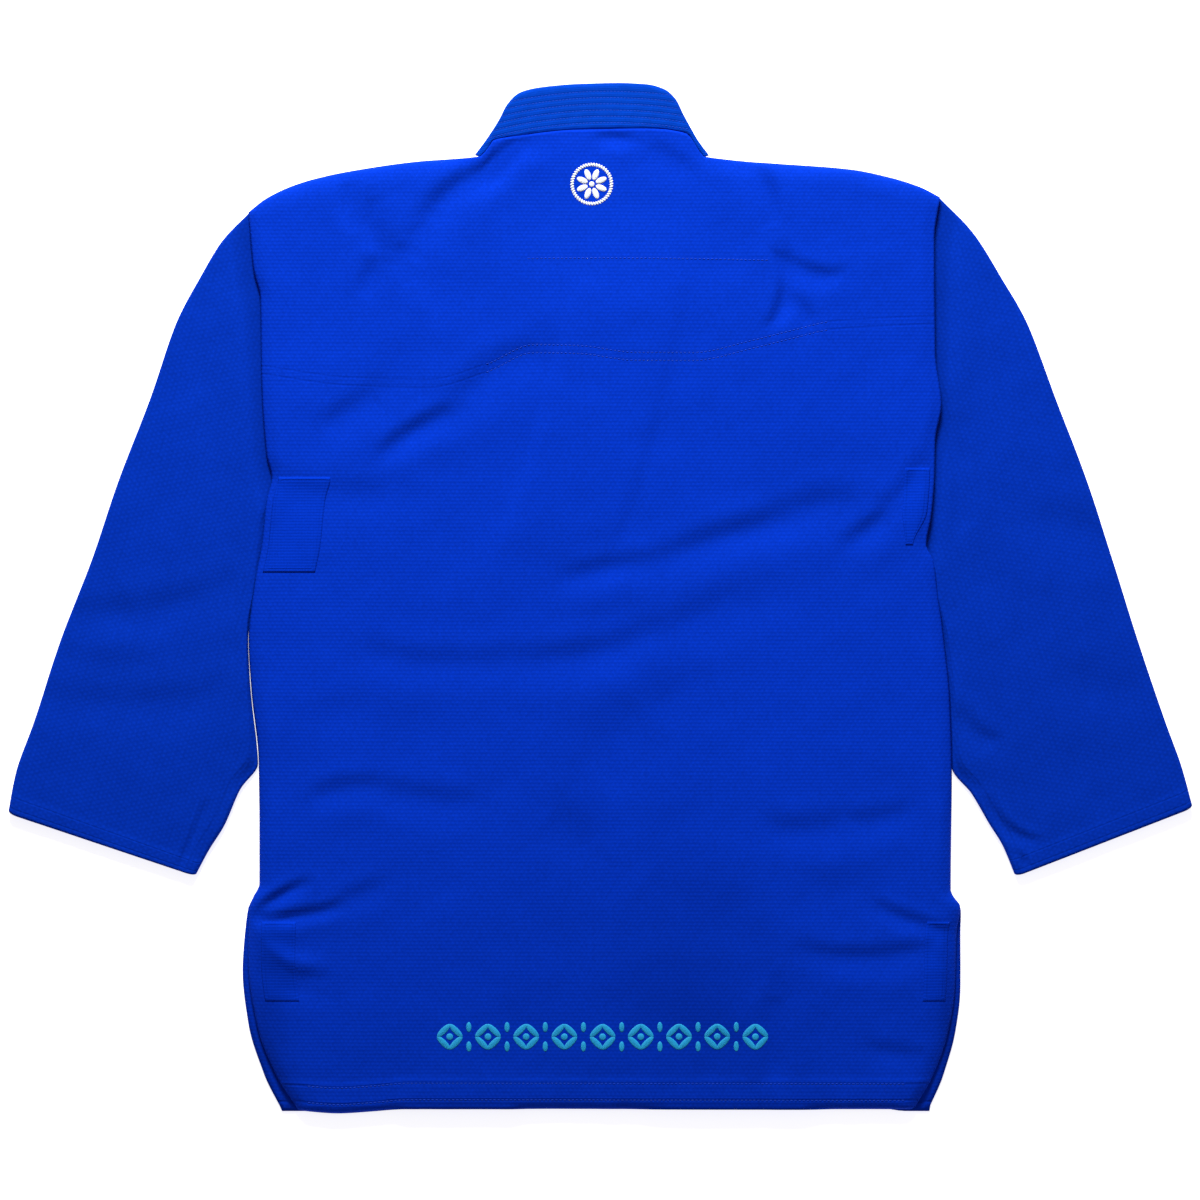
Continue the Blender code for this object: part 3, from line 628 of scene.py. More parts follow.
def make_sleeve(name, node, side, table, edge, armpit, cloth):
    """One sleeve: a flattened tube from its mouth under the back out to the cuff, with its inner face."""
    plan, mouth = sleeve_form(side, table, edge, armpit)
    flat_across, bulge, lift = section(18, 8, 84)
    start = np.array([(table[0][0] + table[0][2]) / 2, (table[0][1] + table[0][3]) / 2])
    end = np.array([(table[-1][0] + table[-1][2]) / 2, (table[-1][1] + table[-1][3]) / 2])
    grain = (end - start) / np.linalg.norm(end - start)
    across_grain = np.array([-grain[1], grain[0]])
    columns = len(flat_across) - 1
    rows = 2 * SLEEVE_ROWS + 2

    def place(around, up):
        column = np.rint(around * columns).astype(int)
        row = np.rint(up * rows).astype(int)
        row = np.where(row == rows, 0, row)
        inside = (row > SLEEVE_ROWS).astype(float)
        along = np.where(row > SLEEVE_ROWS, 2 * SLEEVE_ROWS + 1 - row, row) / SLEEVE_ROWS
        under, over = plan(along, np.zeros_like(along)), plan(along, np.ones_like(along))
        width = np.hypot(*(over - under))
        radius = SLEEVE_RADIUS - CLOTH * 0.5 * inside
        in_mm = CLOTH * inside + radius + flat_across[column] * (width - 2 * radius - 2 * CLOTH * inside)
        in_mm = in_mm + radius * bulge[column]
        x, y = plan(along, in_mm / width)
        from_mouth = np.hypot(*(np.array([x, y]) - mouth(in_mm / width)))
        from_cuff = (1 - along) * CUFF_RUN
        top = sleeve_top(x, y, from_mouth, along, from_cuff, in_mm)
        low, high = CLOTH * inside, top - CLOTH * inside
        z = low + lift[column] * (high - low)
        points = np.stack([x, y, z], axis=1)
        cloth_uv = np.stack([x * grain[0] + y * grain[1], x * across_grain[0] + y * across_grain[1]], axis=1)
        seams = np.stack([from_cuff, in_mm, from_mouth], axis=1)
        return points, cloth_uv * MM, seams

    sleeve = laid_grid(name, columns, rows, place, cloth, seamless=True)
    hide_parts(node)
    return sleeve


neck_keys = np.linspace(0, 1, len(NECK))
seam_x, seam_y, free_x, free_y = [smooth(list(zip(neck_keys, column))) for column in np.array(NECK).T]


def band_row_line(x):
    """The curve that the rows of sewing on the neck band follow, at the band's seam."""
    return 411.8 - 0.00125 * (x - 8) ** 2


def band_lift(along):
    """Height of the band's underside: it lies on the lapels' ends at both corners."""
    corner = ramp(30, 62, np.abs(seam_x(along) - NECK_MIDDLE))
    return corner * (LAPEL_THICKNESS - TOP_THINNING + LAYER_GAP), TOP_THINNING * corner


def quilted(distance, pitch, height):
    """Ridges of a padded strip between its rows of sewing."""
    return height * np.sqrt(np.abs(np.sin(np.pi * distance / pitch)) + 0.02)


def band_top(along, x, y, from_seam, from_edge):
    low, thin = band_lift(along)
    rows = np.clip(y - band_row_line(x), 0, BAND_ROW_PITCH * (BAND_ROW_COUNT + 0.5))
    ridges = quilted(rows, BAND_ROW_PITCH, 0.5)
    soft = ramp(0, 4, np.minimum(from_seam, from_edge))
    roll = 1.1 * (1 - np.sqrt(1 - (1 - np.clip(from_edge / 7, 0, 1)) ** 2))
    dip = 0.9 * (1 - np.sqrt(1 - (1 - np.clip(from_seam / 3, 0, 1)) ** 2))
    ripple = 0.12 * np.sin(x / 3.1 + 3 * np.sin(y / 9)) + 0.25 * unevenness(x, y, 70)
    return low + BAND_THICKNESS - thin - 0.3 + ridges * soft - roll - dip + ripple * soft


def make_neck_band(cloth):
    flat_across, bulge, lift = section(12, 8, 88)
    columns = len(flat_across) - 1
    sample = np.linspace(0, 1, 400)
    middle = np.array([seam_x(sample) + free_x(sample), seam_y(sample) + free_y(sample)]) / 2
    run = np.concatenate([[0], np.cumsum(np.hypot(*np.diff(middle)))])

    def place(around, along):
        column = np.rint(around * columns).astype(int)
        seam = np.array([seam_x(along), seam_y(along)])
        free = np.array([free_x(along), free_y(along)])
        width = np.hypot(*(free - seam))
        round_side = np.minimum(BAND_RADIUS, width * 0.2)
        inset = round_side - BAND_UNDER
        in_mm = inset + flat_across[column] * (width - round_side - inset) + round_side * bulge[column]
        x, y = seam + (free - seam) * in_mm / width
        top = band_top(along, x, y, in_mm, width - in_mm)
        low, _ = band_lift(along)
        points = np.stack([x, y, low + lift[column] * (top - low)], axis=1)
        cloth_uv = np.stack([np.interp(along, sample, run), y - band_row_line(x)], axis=1)
        seams = np.stack([y - band_row_line(x), in_mm, width - in_mm], axis=1)
        return points, cloth_uv * MM, seams

    band = capped_strip("neck_band_cloth", columns, BAND_ROWS, place, cloth)
    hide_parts("neck_band")
    return band


def capped_strip(name, columns, rows, place, cloth):
    """A closed section carried along a line, with both ends filled."""
    strip = laid_grid(name, columns, rows, place, cloth)
    mesh = bmesh.new()
    mesh.from_mesh(strip.data)
    bmesh.ops.remove_doubles(mesh, verts=mesh.verts, dist=0.01 * MM)
    bmesh.ops.holes_fill(mesh, edges=[edge for edge in mesh.edges if edge.is_boundary], sides=0)
    bmesh.ops.recalc_face_normals(mesh, faces=mesh.faces)
    mesh.to_mesh(strip.data)
    mesh.free()
    strip.data.shade_smooth()
    return strip


def make_lapel(name, node, centre_line, bottom, cloth):
    """The padded strip down a front edge, quilted by rows of sewing that run its length."""
    flat_across, bulge, lift = section(14, 6, 56)
    columns = len(flat_across) - 1

    def place(around, up):
        column = np.rint(around * columns).astype(int)
        y = LAPEL_HEM + up * (LAPEL_TOP - LAPEL_HEM)
        lean = (centre_line(y + 1) - centre_line(y - 1)) / 2
        size = np.sqrt(1 + lean**2)
        across = LAPEL_RADIUS + flat_across[column] * (LAPEL_WIDTH - 2 * LAPEL_RADIUS)
        across = across + LAPEL_RADIUS * bulge[column]
        offset = across - LAPEL_WIDTH / 2
        x, height_y = centre_line(y) + offset / size, y - lean * offset / size
        thickness = LAPEL_THICKNESS - TOP_THINNING * ramp(330, 390, y)
        ridges = quilted(across, LAPEL_WIDTH / LAPEL_RIDGES, 0.5) - 0.5
        low = bottom(y)
        z = low + lift[column] * (thickness + ridges * lift[column])
        cloth_uv = np.stack([y * 1.0, across], axis=1) * MM
        seams = np.stack([across, LAPEL_WIDTH - across, y - LAPEL_HEM], axis=1)
        return np.stack([x, height_y, z], axis=1), cloth_uv, seams

    lapel = capped_strip(name, columns, LAPEL_ROWS, place, cloth)
    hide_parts(node)
    return lapel


def spaced(path, pitch):
    """Points at even distances along a run of points."""
    steps = np.linalg.norm(np.diff(path, axis=0), axis=1)
    run = np.concatenate([[0], np.cumsum(steps)])
    count = max(1, int(run[-1] / pitch))
    at = np.linspace(0, run[-1], count + 1)
    return np.stack([np.interp(at, run, path[:, axis]) for axis in range(3)], axis=1)


def sew(name, paths, thread, pitch=STITCH_PITCH, width=STITCH_WIDTH):
    """Rows of stitches along runs of points on the cloth, one small spindle of thread each."""
    mesh = bmesh.new()
    for path in paths:
        points = spaced(np.asarray(path, float), pitch)
        for first, last in zip(points, points[1:]):
            along = Vector(last - first)
            length = along.length
            along.normalize()
            sideways = along.cross(Vector((0, 0, 1))).normalized()
            out = sideways.cross(along)
            turned = Matrix((sideways * width / 2, out * STITCH_HEIGHT / 2, along * length * STITCH_FILL / 2))
            placed = turned.transposed().to_4x4()
            placed.translation = Vector((first + last) / 2) + out * STITCH_HEIGHT * 0.2
            bmesh.ops.create_uvsphere(mesh, u_segments=6, v_segments=4, radius=1, matrix=placed)
    bmesh.ops.recalc_face_normals(mesh, faces=mesh.faces)
    piece = finish_piece(name, mesh, thread)
    return piece


def on_back(x, y, lift=0.0):
    """A run of points on the back."""
    x, y = np.broadcast_arrays(np.asarray(x, float), np.asarray(y, float))
    return np.stack([x, y, back_top(x, y) + lift], axis=1)


def petal(mesh, centre, angle, length, width, height):
    """One raised motif of satin stitch, whose surface follows the back."""
    made = bmesh.ops.create_uvsphere(mesh, u_segments=20, v_segments=10, radius=1)
    turn = Matrix.Rotation(angle, 4, "Z") @ Matrix.Diagonal((length / 2, width / 2, height, 1))
    bmesh.ops.transform(mesh, matrix=turn, verts=made["verts"])
    points = np.array([vert.co for vert in made["verts"]])
    x, y = points[:, 0] + centre[0], points[:, 1] + centre[1]
    for vert, px, py, pz in zip(made["verts"], x, y, points[:, 2] + back_top(x, y)):
        vert.co = (px, py, pz)


NAPE_CENTRE = (-7.0, 363.0)
NAPE_SIZE = 38.0
BORDER_CENTRE = (2.5, -385.0)
BORDER_LENGTH = 268.0
BORDER_MOTIFS = 9


def make_nape_flower(thread):
    """A plain round flower of eight petals in a ring, embroidered below the neck band."""
    mesh = bmesh.new()
    for index in range(8):
        angle = index * math.tau / 8 + math.tau / 16
        reach = NAPE_SIZE * 0.235
        centre = (NAPE_CENTRE[0] + reach * math.cos(angle), NAPE_CENTRE[1] + reach * math.sin(angle))
        petal(mesh, centre, angle, NAPE_SIZE * 0.27, NAPE_SIZE * 0.135, 0.9)
    petal(mesh, NAPE_CENTRE, 0, NAPE_SIZE * 0.13, NAPE_SIZE * 0.13, 0.9)
    for index in range(48):
        angle = index * math.tau / 48
        reach = NAPE_SIZE * 0.455
        centre = (NAPE_CENTRE[0] + reach * math.cos(angle), NAPE_CENTRE[1] + reach * math.sin(angle))
        petal(mesh, centre, angle + 0.5, 3.6, 2.0, 0.7)
    return finish_piece("nape_flower", mesh, thread)


def make_hem_border(thread):
    """A row of lozenges with leaves between them, embroidered above the hem."""
    mesh = bmesh.new()
    step = BORDER_LENGTH / (BORDER_MOTIFS - 1)
    for index in range(BORDER_MOTIFS):
        x = BORDER_CENTRE[0] + (index - (BORDER_MOTIFS - 1) / 2) * step
        for quarter in range(4):
            angle = quarter * math.tau / 4 + math.tau / 8
            centre = (x + 7.6 * math.cos(angle), BORDER_CENTRE[1] + 7.6 * math.sin(angle))
            petal(mesh, centre, angle + math.tau / 4, 16.0, 5.4, 0.8)
        petal(mesh, (x, BORDER_CENTRE[1]), 0, 6.0, 6.0, 0.8)
        if index < BORDER_MOTIFS - 1:
            for way in (-1, 1):
                petal(mesh, (x + step / 2, BORDER_CENTRE[1] + way * 8.5), math.tau / 4, 9.0, 4.6, 0.8)
    return finish_piece("hem_border", mesh, thread)


# Shader helpers


def add(tree, kind, inputs=None, **settings):
    """A shader node with its settings, and its inputs linked or set."""
    made = tree.nodes.new("ShaderNode" + kind)
    for key, value in settings.items():
        setattr(made, key, value)
    for key, value in (inputs or {}).items():
        if isinstance(value, bpy.types.NodeSocket):
            tree.links.new(value, made.inputs[key])
        else:
            made.inputs[key].default_value = value
    return made


def calc(tree, operation, *values, clamp=False):
    return add(tree, "Math", dict(enumerate(values)), operation=operation, use_clamp=clamp).outputs[0]


def blended(tree, factor, first, second, mode="MIX"):
    made = tree.nodes.new("ShaderNodeMix")
    made.data_type = "RGBA"
    made.blend_type = mode
    for socket, value in ((made.inputs[0], factor), (made.inputs[6], first), (made.inputs[7], second)):
        if isinstance(value, bpy.types.NodeSocket):
            tree.links.new(value, socket)
        else:
            socket.default_value = value if isinstance(value, float) else (*value, 1)
    return made.outputs[2]


def new_group(name, inputs, outputs):
    tree = bpy.data.node_groups.new(name, "ShaderNodeTree")
    for label, kind, value in inputs:
        socket = tree.interface.new_socket(label, in_out="INPUT", socket_type="NodeSocket" + kind)
        if value is not None:
            socket.default_value = value
    for label, kind in outputs:
        tree.interface.new_socket(label, in_out="OUTPUT", socket_type="NodeSocket" + kind)
    return tree, tree.nodes.new("NodeGroupInput").outputs, tree.nodes.new("NodeGroupOutput").inputs


def use_group(tree, group, inputs):
    made = tree.nodes.new("ShaderNodeGroup")
    made.node_tree = group
    for key, value in inputs.items():
        if isinstance(value, bpy.types.NodeSocket):
            tree.links.new(value, made.inputs[key])
        else:
            made.inputs[key].default_value = value
    return made.outputs


def pearl_weave():
    """Staggered rows of rounded pearls, with furrows between the rows."""
    tree, given, gives = new_group(
        "pearl_weave",
        [("Cloth", "Vector", None), ("Cell", "Float", BODY_WEAVE[0]), ("Row", "Float", BODY_WEAVE[1]),
         ("Wander", "Float", 0.0005)],
        [("Height", "Float"), ("Pearl Tone", "Float")],
    )
    sway = add(tree, "TexNoise", {"Vector": given["Cloth"], "Scale": 38.0, "Detail": 2.0})
    centred = add(tree, "VectorMath", {0: sway.outputs["Color"], 1: (0.5, 0.5, 0.5)}, operation="SUBTRACT")
    moved = add(tree, "VectorMath", {0: centred.outputs[0], "Scale": given["Wander"]}, operation="SCALE")
    place = add(tree, "VectorMath", {0: given["Cloth"], 1: moved.outputs[0]}, operation="ADD")
    split = add(tree, "SeparateXYZ", {0: place.outputs[0]})
    cells = calc(tree, "DIVIDE", split.outputs[0], given["Cell"])
    rows = calc(tree, "DIVIDE", split.outputs[1], given["Row"])
    round_cell = calc(tree, "COSINE", calc(tree, "MULTIPLY", cells, math.tau))
    stagger = calc(tree, "COSINE", calc(tree, "MULTIPLY", rows, math.pi))
    furrow = calc(tree, "COSINE", calc(tree, "MULTIPLY", rows, math.tau))
    pearl = calc(tree, "MULTIPLY", round_cell, stagger)
    mixed = calc(tree, "ADD", calc(tree, "MULTIPLY", pearl, 0.27), calc(tree, "MULTIPLY", furrow, 0.2))
    raised = calc(tree, "ADD", mixed, 0.5, clamp=True)
    grid = add(tree, "CombineXYZ", {0: cells, 1: rows})
    tone = add(tree, "TexNoise", {"Vector": grid.outputs[0], "Scale": 1.1, "Detail": 1.0})
    tree.links.new(raised, gives["Height"])
    tree.links.new(tone.outputs[0], gives["Pearl Tone"])
    return tree


def ribbed_weave():
    """Fine ribs of a plain strong cloth that run the length of a strip."""
    tree, given, gives = new_group(
        "ribbed_weave",
        [("Cloth", "Vector", None), ("Rib", "Float", 0.0018), ("Wander", "Float", 0.0003)],
        [("Height", "Float"), ("Rib Tone", "Float")],
    )
    sway = add(tree, "TexNoise", {"Vector": given["Cloth"], "Scale": 60.0, "Detail": 1.0})
    split = add(tree, "SeparateXYZ", {0: given["Cloth"]})
    centred = calc(tree, "SUBTRACT", sway.outputs[0], 0.5)
    moved = calc(tree, "MULTIPLY_ADD", centred, given["Wander"], split.outputs[1])
    ribs = calc(tree, "COSINE", calc(tree, "MULTIPLY", calc(tree, "DIVIDE", moved, given["Rib"]), math.tau))
    steps = calc(tree, "DIVIDE", split.outputs[0], given["Rib"])
    knots = calc(tree, "COSINE", calc(tree, "MULTIPLY", steps, math.tau))
    mixed = calc(tree, "ADD", calc(tree, "MULTIPLY", ribs, 0.3), calc(tree, "MULTIPLY", knots, 0.15))
    raised = calc(tree, "ADD", mixed, 0.5, clamp=True)
    tone = add(tree, "TexNoise", {"Vector": given["Cloth"], "Scale": 500.0, "Detail": 1.0})
    tree.links.new(raised, gives["Height"])
    tree.links.new(tone.outputs[0], gives["Rib Tone"])
    return tree


def dye_and_furrow_shade():
    """The colour of dyed cotton, slightly uneven over the garment, with painted shade that darkens it in the
    furrows of the weave.
    """
    tree, given, gives = new_group(
        "dye_and_furrow_shade",
        [("Place", "Vector", None), ("Colour", "Color", (0, 0, 1, 1)), ("Raised", "Float", 0.5),
         ("Thread Tone", "Float", 0.5), ("Painted Furrow Shade", "Float", 0.25)],
        [("Colour", "Color"), ("Roughness", "Float")],
    )
    cloudy = add(tree, "TexNoise", {"Vector": given["Place"], "Scale": 9.0, "Detail": 3.0, "Roughness": 0.6})
    streaks = add(tree, "TexNoise", {"Vector": given["Place"], "Scale": 55.0, "Detail": 2.0})
    fluff = add(tree, "TexNoise", {"Vector": given["Place"], "Scale": 900.0, "Detail": 2.0})
    broad = calc(tree, "MULTIPLY_ADD", cloudy.outputs[0], 0.16, 0.92)
    narrow = calc(tree, "MULTIPLY_ADD", streaks.outputs[0], 0.10, 0.95)
    thread = calc(tree, "MULTIPLY_ADD", given["Thread Tone"], 0.34, 0.83)
    fine = calc(tree, "MULTIPLY_ADD", fluff.outputs[0], 0.16, 0.92)
    # Painted shade: the colour is darkened where the weave is sunk, in the furrows between its rows.
    sunk = calc(tree, "SUBTRACT", 1.0, given["Raised"])
    fall = calc(tree, "MULTIPLY", given["Painted Furrow Shade"], -2.0)
    furrow = calc(tree, "MULTIPLY_ADD", sunk, fall, calc(tree, "ADD", 1.0, given["Painted Furrow Shade"]))
    shade = calc(tree, "MULTIPLY", calc(tree, "MULTIPLY", broad, narrow),
                 calc(tree, "MULTIPLY", calc(tree, "MULTIPLY", thread, fine), furrow))
    tinted = add(tree, "VectorMath", {0: given["Colour"], "Scale": shade}, operation="SCALE")
    tree.links.new(tinted.outputs[0], gives["Colour"])
    rough = calc(tree, "MULTIPLY_ADD", given["Raised"], -0.08, 0.93)
    tree.links.new(rough, gives["Roughness"])
    return tree


def sewn_line():
    """A groove at a distance from a seam, 1 in the line and 0 beside it. Narrow ones are pressed by sewing; a
    wide one makes the band of painted shadow on a sleeve at its armhole.
    """
    tree, given, gives = new_group(
        "sewn_line",
        [("Distance", "Float", 0.0), ("Line", "Float", 0.0), ("Half Width", "Float", 1.5)],
        [("Groove", "Float")],
    )
    away = calc(tree, "ABSOLUTE", calc(tree, "SUBTRACT", given["Distance"], given["Line"]))
    fall = calc(tree, "DIVIDE", away, given["Half Width"])
    groove = calc(tree, "SUBTRACT", 1.0, calc(tree, "MULTIPLY", fall, fall), clamp=True)
    tree.links.new(groove, gives["Groove"])
    return tree


groups = {"pearl": pearl_weave(), "rib": ribbed_weave(), "dye": dye_and_furrow_shade(), "line": sewn_line()}


def cotton(name, colour, weave, weave_sizes, weave_depth, painted_furrow_shade, lines=(), line_depth=0.5):
    """A cotton cloth. lines gives rows of sewing, whose grooves get painted shade, and the wide band of
    painted shadow at a sleeve's armhole: seam axis, distance in millimetres, half width and strength.
    """
    cloth = bpy.data.materials.new(name)
    cloth.use_nodes = True
    tree = cloth.node_tree
    shader = tree.nodes["Principled BSDF"]
    uv = add(tree, "UVMap", uv_map="cloth").outputs[0]
    place = add(tree, "TexCoord").outputs["Object"]
    woven = use_group(tree, groups[weave], {"Cloth": uv, **weave_sizes})
    seams = add(tree, "Attribute", attribute_name="seams")
    split = add(tree, "SeparateXYZ", {0: seams.outputs["Vector"]})
    groove_relief_and_shade = 0.0
    for axis, distance, half_width, strength in lines:
        line = use_group(tree, groups["line"], {
            "Distance": split.outputs[axis], "Line": distance, "Half Width": half_width})
        groove_relief_and_shade = calc(tree, "MAXIMUM", calc(tree, "MULTIPLY", line[0], strength), groove_relief_and_shade)
    # Painted shade: the tone attribute darkens the colour where the cloth lies hollow and towards the hem.
    tone = add(tree, "Attribute", attribute_name="tone").outputs["Fac"]
    colour_with_painted_shade = add(tree, "VectorMath", {0: colour, "Scale": tone}, operation="SCALE").outputs[0]
    dyed = use_group(tree, groups["dye"], {
        "Place": place, "Colour": colour_with_painted_shade, "Raised": woven[0], "Thread Tone": woven[1],
        "Painted Furrow Shade": painted_furrow_shade})
    final = dyed["Colour"]
    # Painted shade: the colour is darkened in the sewn grooves, and in the band of painted shadow at a
    # sleeve's armhole.
    if lines:
        final = blended(tree, calc(tree, "MULTIPLY", groove_relief_and_shade, 0.35), final, tuple(c * 0.35 for c in colour))
    tree.links.new(final, shader.inputs["Base Color"])
    tree.links.new(dyed["Roughness"], shader.inputs["Roughness"])
    fibres = add(tree, "TexNoise", {"Vector": place, "Scale": 1800.0, "Detail": 2.0})
    soft = add(tree, "Bump", {"Strength": 0.5, "Distance": 0.00012, "Height": fibres.outputs[0]})
    relief = add(tree, "Bump", {
        "Strength": 1.0, "Distance": weave_depth, "Height": woven[0], "Normal": soft.outputs[0]})
    if lines:
        sunk = calc(tree, "SUBTRACT", 1.0, groove_relief_and_shade)
        relief = add(tree, "Bump", {
            "Strength": 1.0, "Distance": line_depth * MM, "Height": sunk, "Normal": relief.outputs[0]})
    tree.links.new(relief.outputs[0], shader.inputs["Normal"])
    shader.inputs["Specular IOR Level"].default_value = 0.04
    shader.inputs["Specular Tint"].default_value = (0.02, 0.25, 1, 1)
    shader.inputs["Sheen Weight"].default_value = 0.03
    shader.inputs["Sheen Roughness"].default_value = 0.5
    shader.inputs["Sheen Tint"].default_value = (0.0, 0.2, 1, 1)
    return cloth


def thread_material(name, colour, twist=900.0):
    """Polished thread, with the twist of its strands, and painted shade darkening the hollows between them."""
    thread = bpy.data.materials.new(name)
    thread.use_nodes = True
    tree = thread.node_tree
    shader = tree.nodes["Principled BSDF"]
    place = add(tree, "TexCoord").outputs["Object"]
    wave = add(tree, "TexWave", {"Vector": place, "Scale": twist, "Distortion": 1.5, "Detail": 1.0},
               bands_direction="DIAGONAL")
    # Painted shade: the colour is darker where the strands sink, between the twists.
    dark = tuple(c * 0.72 for c in colour)
    tree.links.new(blended(tree, wave.outputs["Fac"], dark, colour), shader.inputs["Base Color"])
    strands = add(tree, "Bump", {"Strength": 0.6, "Distance": 0.0002, "Height": wave.outputs["Fac"]})
    tree.links.new(strands.outputs[0], shader.inputs["Normal"])
    shader.inputs["Roughness"].default_value = 0.55
    shader.inputs["Specular IOR Level"].default_value = 0.2
    return thread


BLUE = (0.0013, 0.0265, 0.39)
SLEEVE_BLUE = (0.0012, 0.0245, 0.33)
BAND_BLUE = (0.0010, 0.036, 0.34)
PATCH_BLUE = (0.0010, 0.0260, 0.39)

back_lines = [(0, HEM_DEPTH - 3, 1.5, 0.6), (0, 8.5, 1.5, 0.6), (1, 0.0, 1.3, 0.25), (1, 7.0, 1.3, 0.2)]
# The last sleeve line is no sewing but painted shadow: it darkens the sleeve within 28 mm of the armhole,
# under the body's edge, with a shallow dip.
sleeve_lines = [(0, CUFF_DEPTH - 3, 1.4, 0.3), (0, 7.0, 1.4, 0.3), (1, 10.5, 1.5, 0.3), (2, 0.0, 28.0, 1.0)]
weave_body = {"Cell": BODY_WEAVE[0], "Row": BODY_WEAVE[1]}
weave_sleeve = {"Cell": SLEEVE_WEAVE[0], "Row": SLEEVE_WEAVE[1]}
body_cloth = cotton("body_pearl_cloth", BLUE, "pearl", weave_body, 0.00018, 0.08, back_lines)
front_cloth = cotton("front_pearl_cloth", BLUE, "pearl", weave_body, 0.00018, 0.08, [(0, 8.5, 1.5, 0.8)])
sleeve_cloth = cotton("sleeve_pearl_cloth", SLEEVE_BLUE, "pearl", weave_sleeve, 0.00018, 0.10, sleeve_lines)
band_cloth = cotton("band_cloth", BAND_BLUE, "rib", {"Rib": 0.0018}, 0.00012, 0.08)
patch_cloth = cotton("patch_cloth", PATCH_BLUE, "rib", {"Rib": 0.0026}, 0.00014, 0.06, [(0, 3.0, 0.9, 0.3)])
blue_thread = thread_material("blue_thread", (0.0025, 0.05, 0.52))
white_thread = thread_material("white_thread", (0.78, 0.82, 0.84))
teal_thread = thread_material("teal_thread", (0.012, 0.32, 0.60))


# The pieces


back = make_back(body_cloth)
left_front = make_front("left_front_cloth", "left_front", -1, back_left, flare_left, lapel_left,
                        SHOULDER_LEFT[0], SHOULDER_LEFT, ARMPIT_LEFT, left_front_top, front_cloth)
right_front = make_front("right_front_cloth", "right_front", 1, back_right, flare_right, lapel_right,
                         SHOULDER_RIGHT[-1], SHOULDER_RIGHT, ARMPIT_RIGHT, right_front_top, front_cloth)
left_lapel = make_lapel("left_lapel_cloth", "left_lapel", lapel_left, left_lapel_bottom, band_cloth)
right_lapel = make_lapel("right_lapel_cloth", "right_lapel", lapel_right, right_lapel_bottom, band_cloth)
left_sleeve = make_sleeve(
    "left_sleeve_cloth", "left_sleeve", -1, SLEEVE_LEFT, back_left, ARMPIT_LEFT, sleeve_cloth)
right_sleeve = make_sleeve(
    "right_sleeve_cloth", "right_sleeve", 1, SLEEVE_RIGHT, back_right, ARMPIT_RIGHT, sleeve_cloth)
neck_band = make_neck_band(band_cloth)
left_gusset = make_patch("left_gusset_cloth", "left_gusset", -1, back_left, 6, 46, 22, 106, patch_cloth)
right_gusset = make_patch(
    "right_gusset_cloth", "right_gusset", 1, back_right, 4, 22, 46, 114, patch_cloth, 0.7)
left_vent = make_patch("left_vent_cloth", "left_vent_patch", -1, back_left, 12, 30, -354, -284, patch_cloth)
right_vent = make_patch("right_vent_cloth", "right_vent_patch", 1, back_right, 8, 20, -354, -284, patch_cloth)

across = np.linspace(-1, 1, 160)
hem_x = 5.5 + across * 262
hem_rows = [on_back(hem_x, hem(hem_x) + offset) for offset in (8.5, HEM_DEPTH - 3)]
yoke_x = 50 + across * 150
yoke_rows = [on_back(yoke_x, yoke_line(yoke_x) + offset) for offset in (0, 7)]
upper_x = 42 + across * 106
yoke_rows.append(on_back(upper_x, 298 - 0.0001 * upper_x**2))
sew("body_stitches", hem_rows + yoke_rows, blue_thread)

band_rows = []
for row in range(1, BAND_ROW_COUNT + 1):
    distance = row * BAND_ROW_PITCH
    along = np.linspace(0.02, 0.98, 500)
    seam = np.array([seam_x(along), seam_y(along)])
    free = np.array([free_x(along), free_y(along)])
    part = np.linspace(0.03, 0.97, 60)[:, None]
    grid_x = seam[0] + part * (free[0] - seam[0])
    grid_y = seam[1] + part * (free[1] - seam[1])
    level = grid_y - band_row_line(grid_x)
    inside = (level[0] < distance) & (level[-1] > distance)
    chosen = np.array([np.interp(distance, level[:, i], part[:, 0]) for i in range(len(along))])
    x = seam[0] + chosen * (free[0] - seam[0])
    y = seam[1] + chosen * (free[1] - seam[1])
    width = np.hypot(*(free - seam))
    z = band_top(along, x, y, chosen * width, (1 - chosen) * width)
    band_rows.append(np.stack([x, y, z + 0.1], axis=1)[inside])
sew("band_stitches", band_rows, blue_thread, pitch=3.0, width=0.8)

make_nape_flower(white_thread)
make_hem_border(teal_thread)


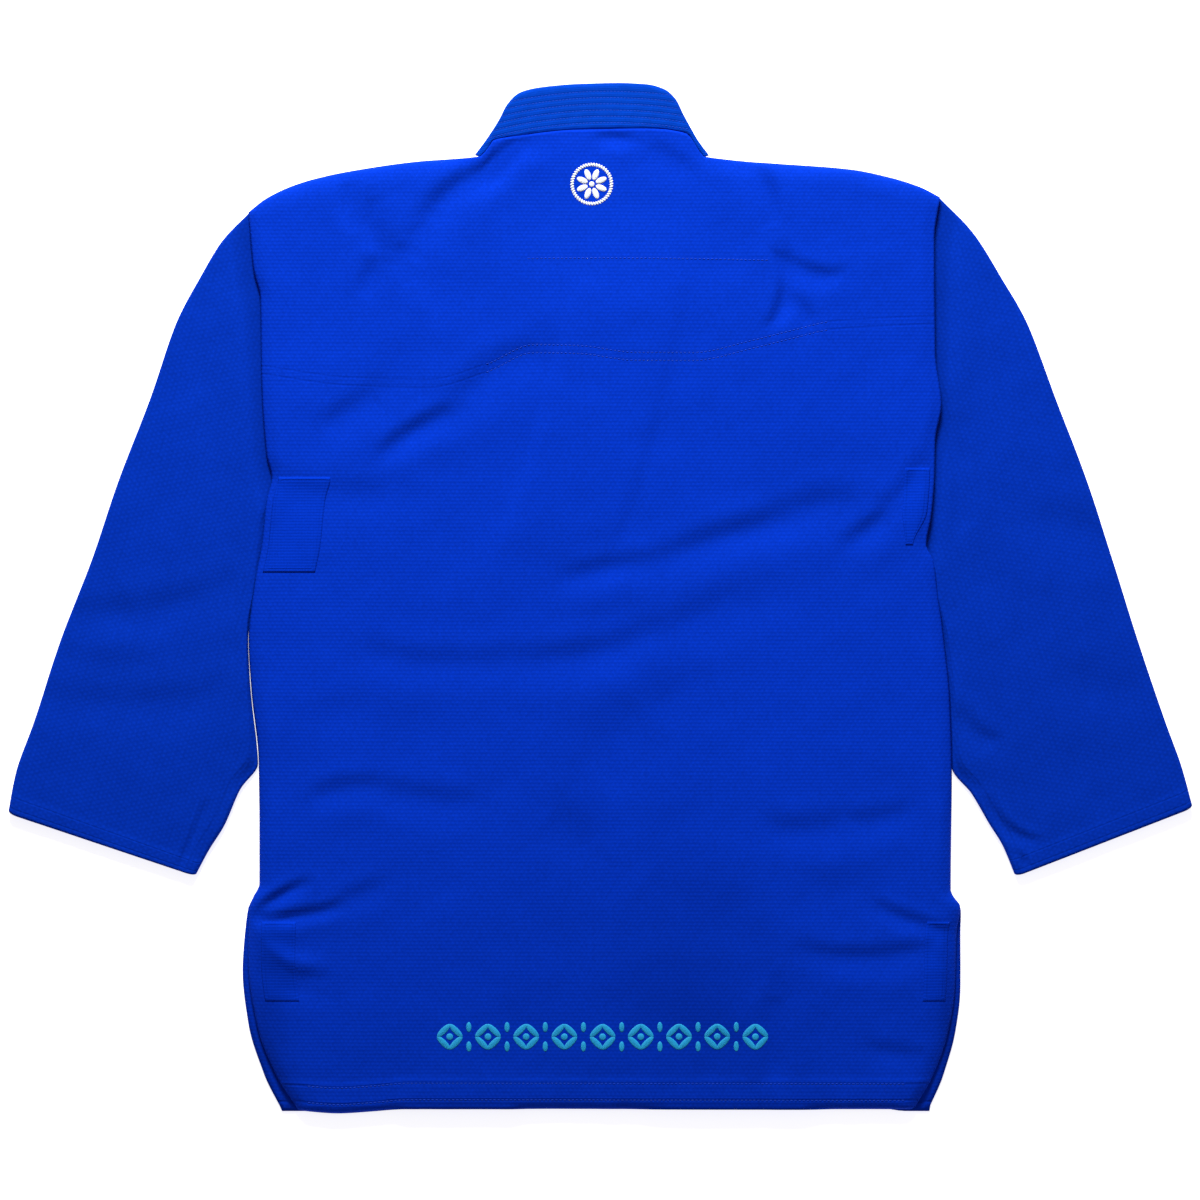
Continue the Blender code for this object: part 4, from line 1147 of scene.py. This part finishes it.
# Stage, light and camera

PHOTO_WIDTH = 1.056
CAMERA_HEIGHT = 3.0
PHOTO_CENTRE = (-0.0004, -0.0022)

floor_mesh = bmesh.new()
bmesh.ops.create_grid(floor_mesh, x_segments=1, y_segments=1, size=6)
floor_data = bpy.data.meshes.new("floor")
floor_mesh.to_mesh(floor_data)
floor_mesh.free()
floor = bpy.data.objects.new("floor", floor_data)
floor.location.z = -0.0003
bpy.context.scene.collection.objects.link(floor)
paper = bpy.data.materials.new("white_paper")
paper.use_nodes = True
paper_shader = paper.node_tree.nodes["Principled BSDF"]
paper_shader.inputs["Base Color"].default_value = (0.9, 0.9, 0.9, 1)
paper_shader.inputs["Roughness"].default_value = 0.9
paper_shader.inputs["Specular IOR Level"].default_value = 0.1
paper_shader.inputs["Emission Color"].default_value = (1, 1, 1, 1)
paper_shader.inputs["Emission Strength"].default_value = 0.7
floor_data.materials.append(paper)

world = bpy.data.worlds.new("studio")
bpy.context.scene.world = world
world.use_nodes = True
world.node_tree.nodes["Background"].inputs["Color"].default_value = (0.9, 0.86, 1, 1)
world.node_tree.nodes["Background"].inputs["Strength"].default_value = 0.3


def soft_box(name, place, size, power):
    light = bpy.data.lights.new(name, "AREA")
    light.shape = "SQUARE"
    light.size = size
    light.energy = power
    lamp = bpy.data.objects.new(name, light)
    lamp.location = place
    lamp.rotation_euler = (-Vector(place)).to_track_quat("-Z", "Y").to_euler()
    bpy.context.scene.collection.objects.link(lamp)


soft_box("key_light", (-0.2, 2.5, 1.35), 0.9, 172)
soft_box("fill_light", (1.5, -1.2, 2.4), 2.0, 6)

camera_data = bpy.data.cameras.new("camera")
camera_data.sensor_width = 36
camera_data.lens = 36 / 2 / (PHOTO_WIDTH / 2 / CAMERA_HEIGHT)
camera = bpy.data.objects.new("camera", camera_data)
camera.location = (*PHOTO_CENTRE, CAMERA_HEIGHT)
bpy.context.scene.collection.objects.link(camera)
bpy.context.scene.camera = camera
bpy.context.scene.view_settings.view_transform = "Standard"
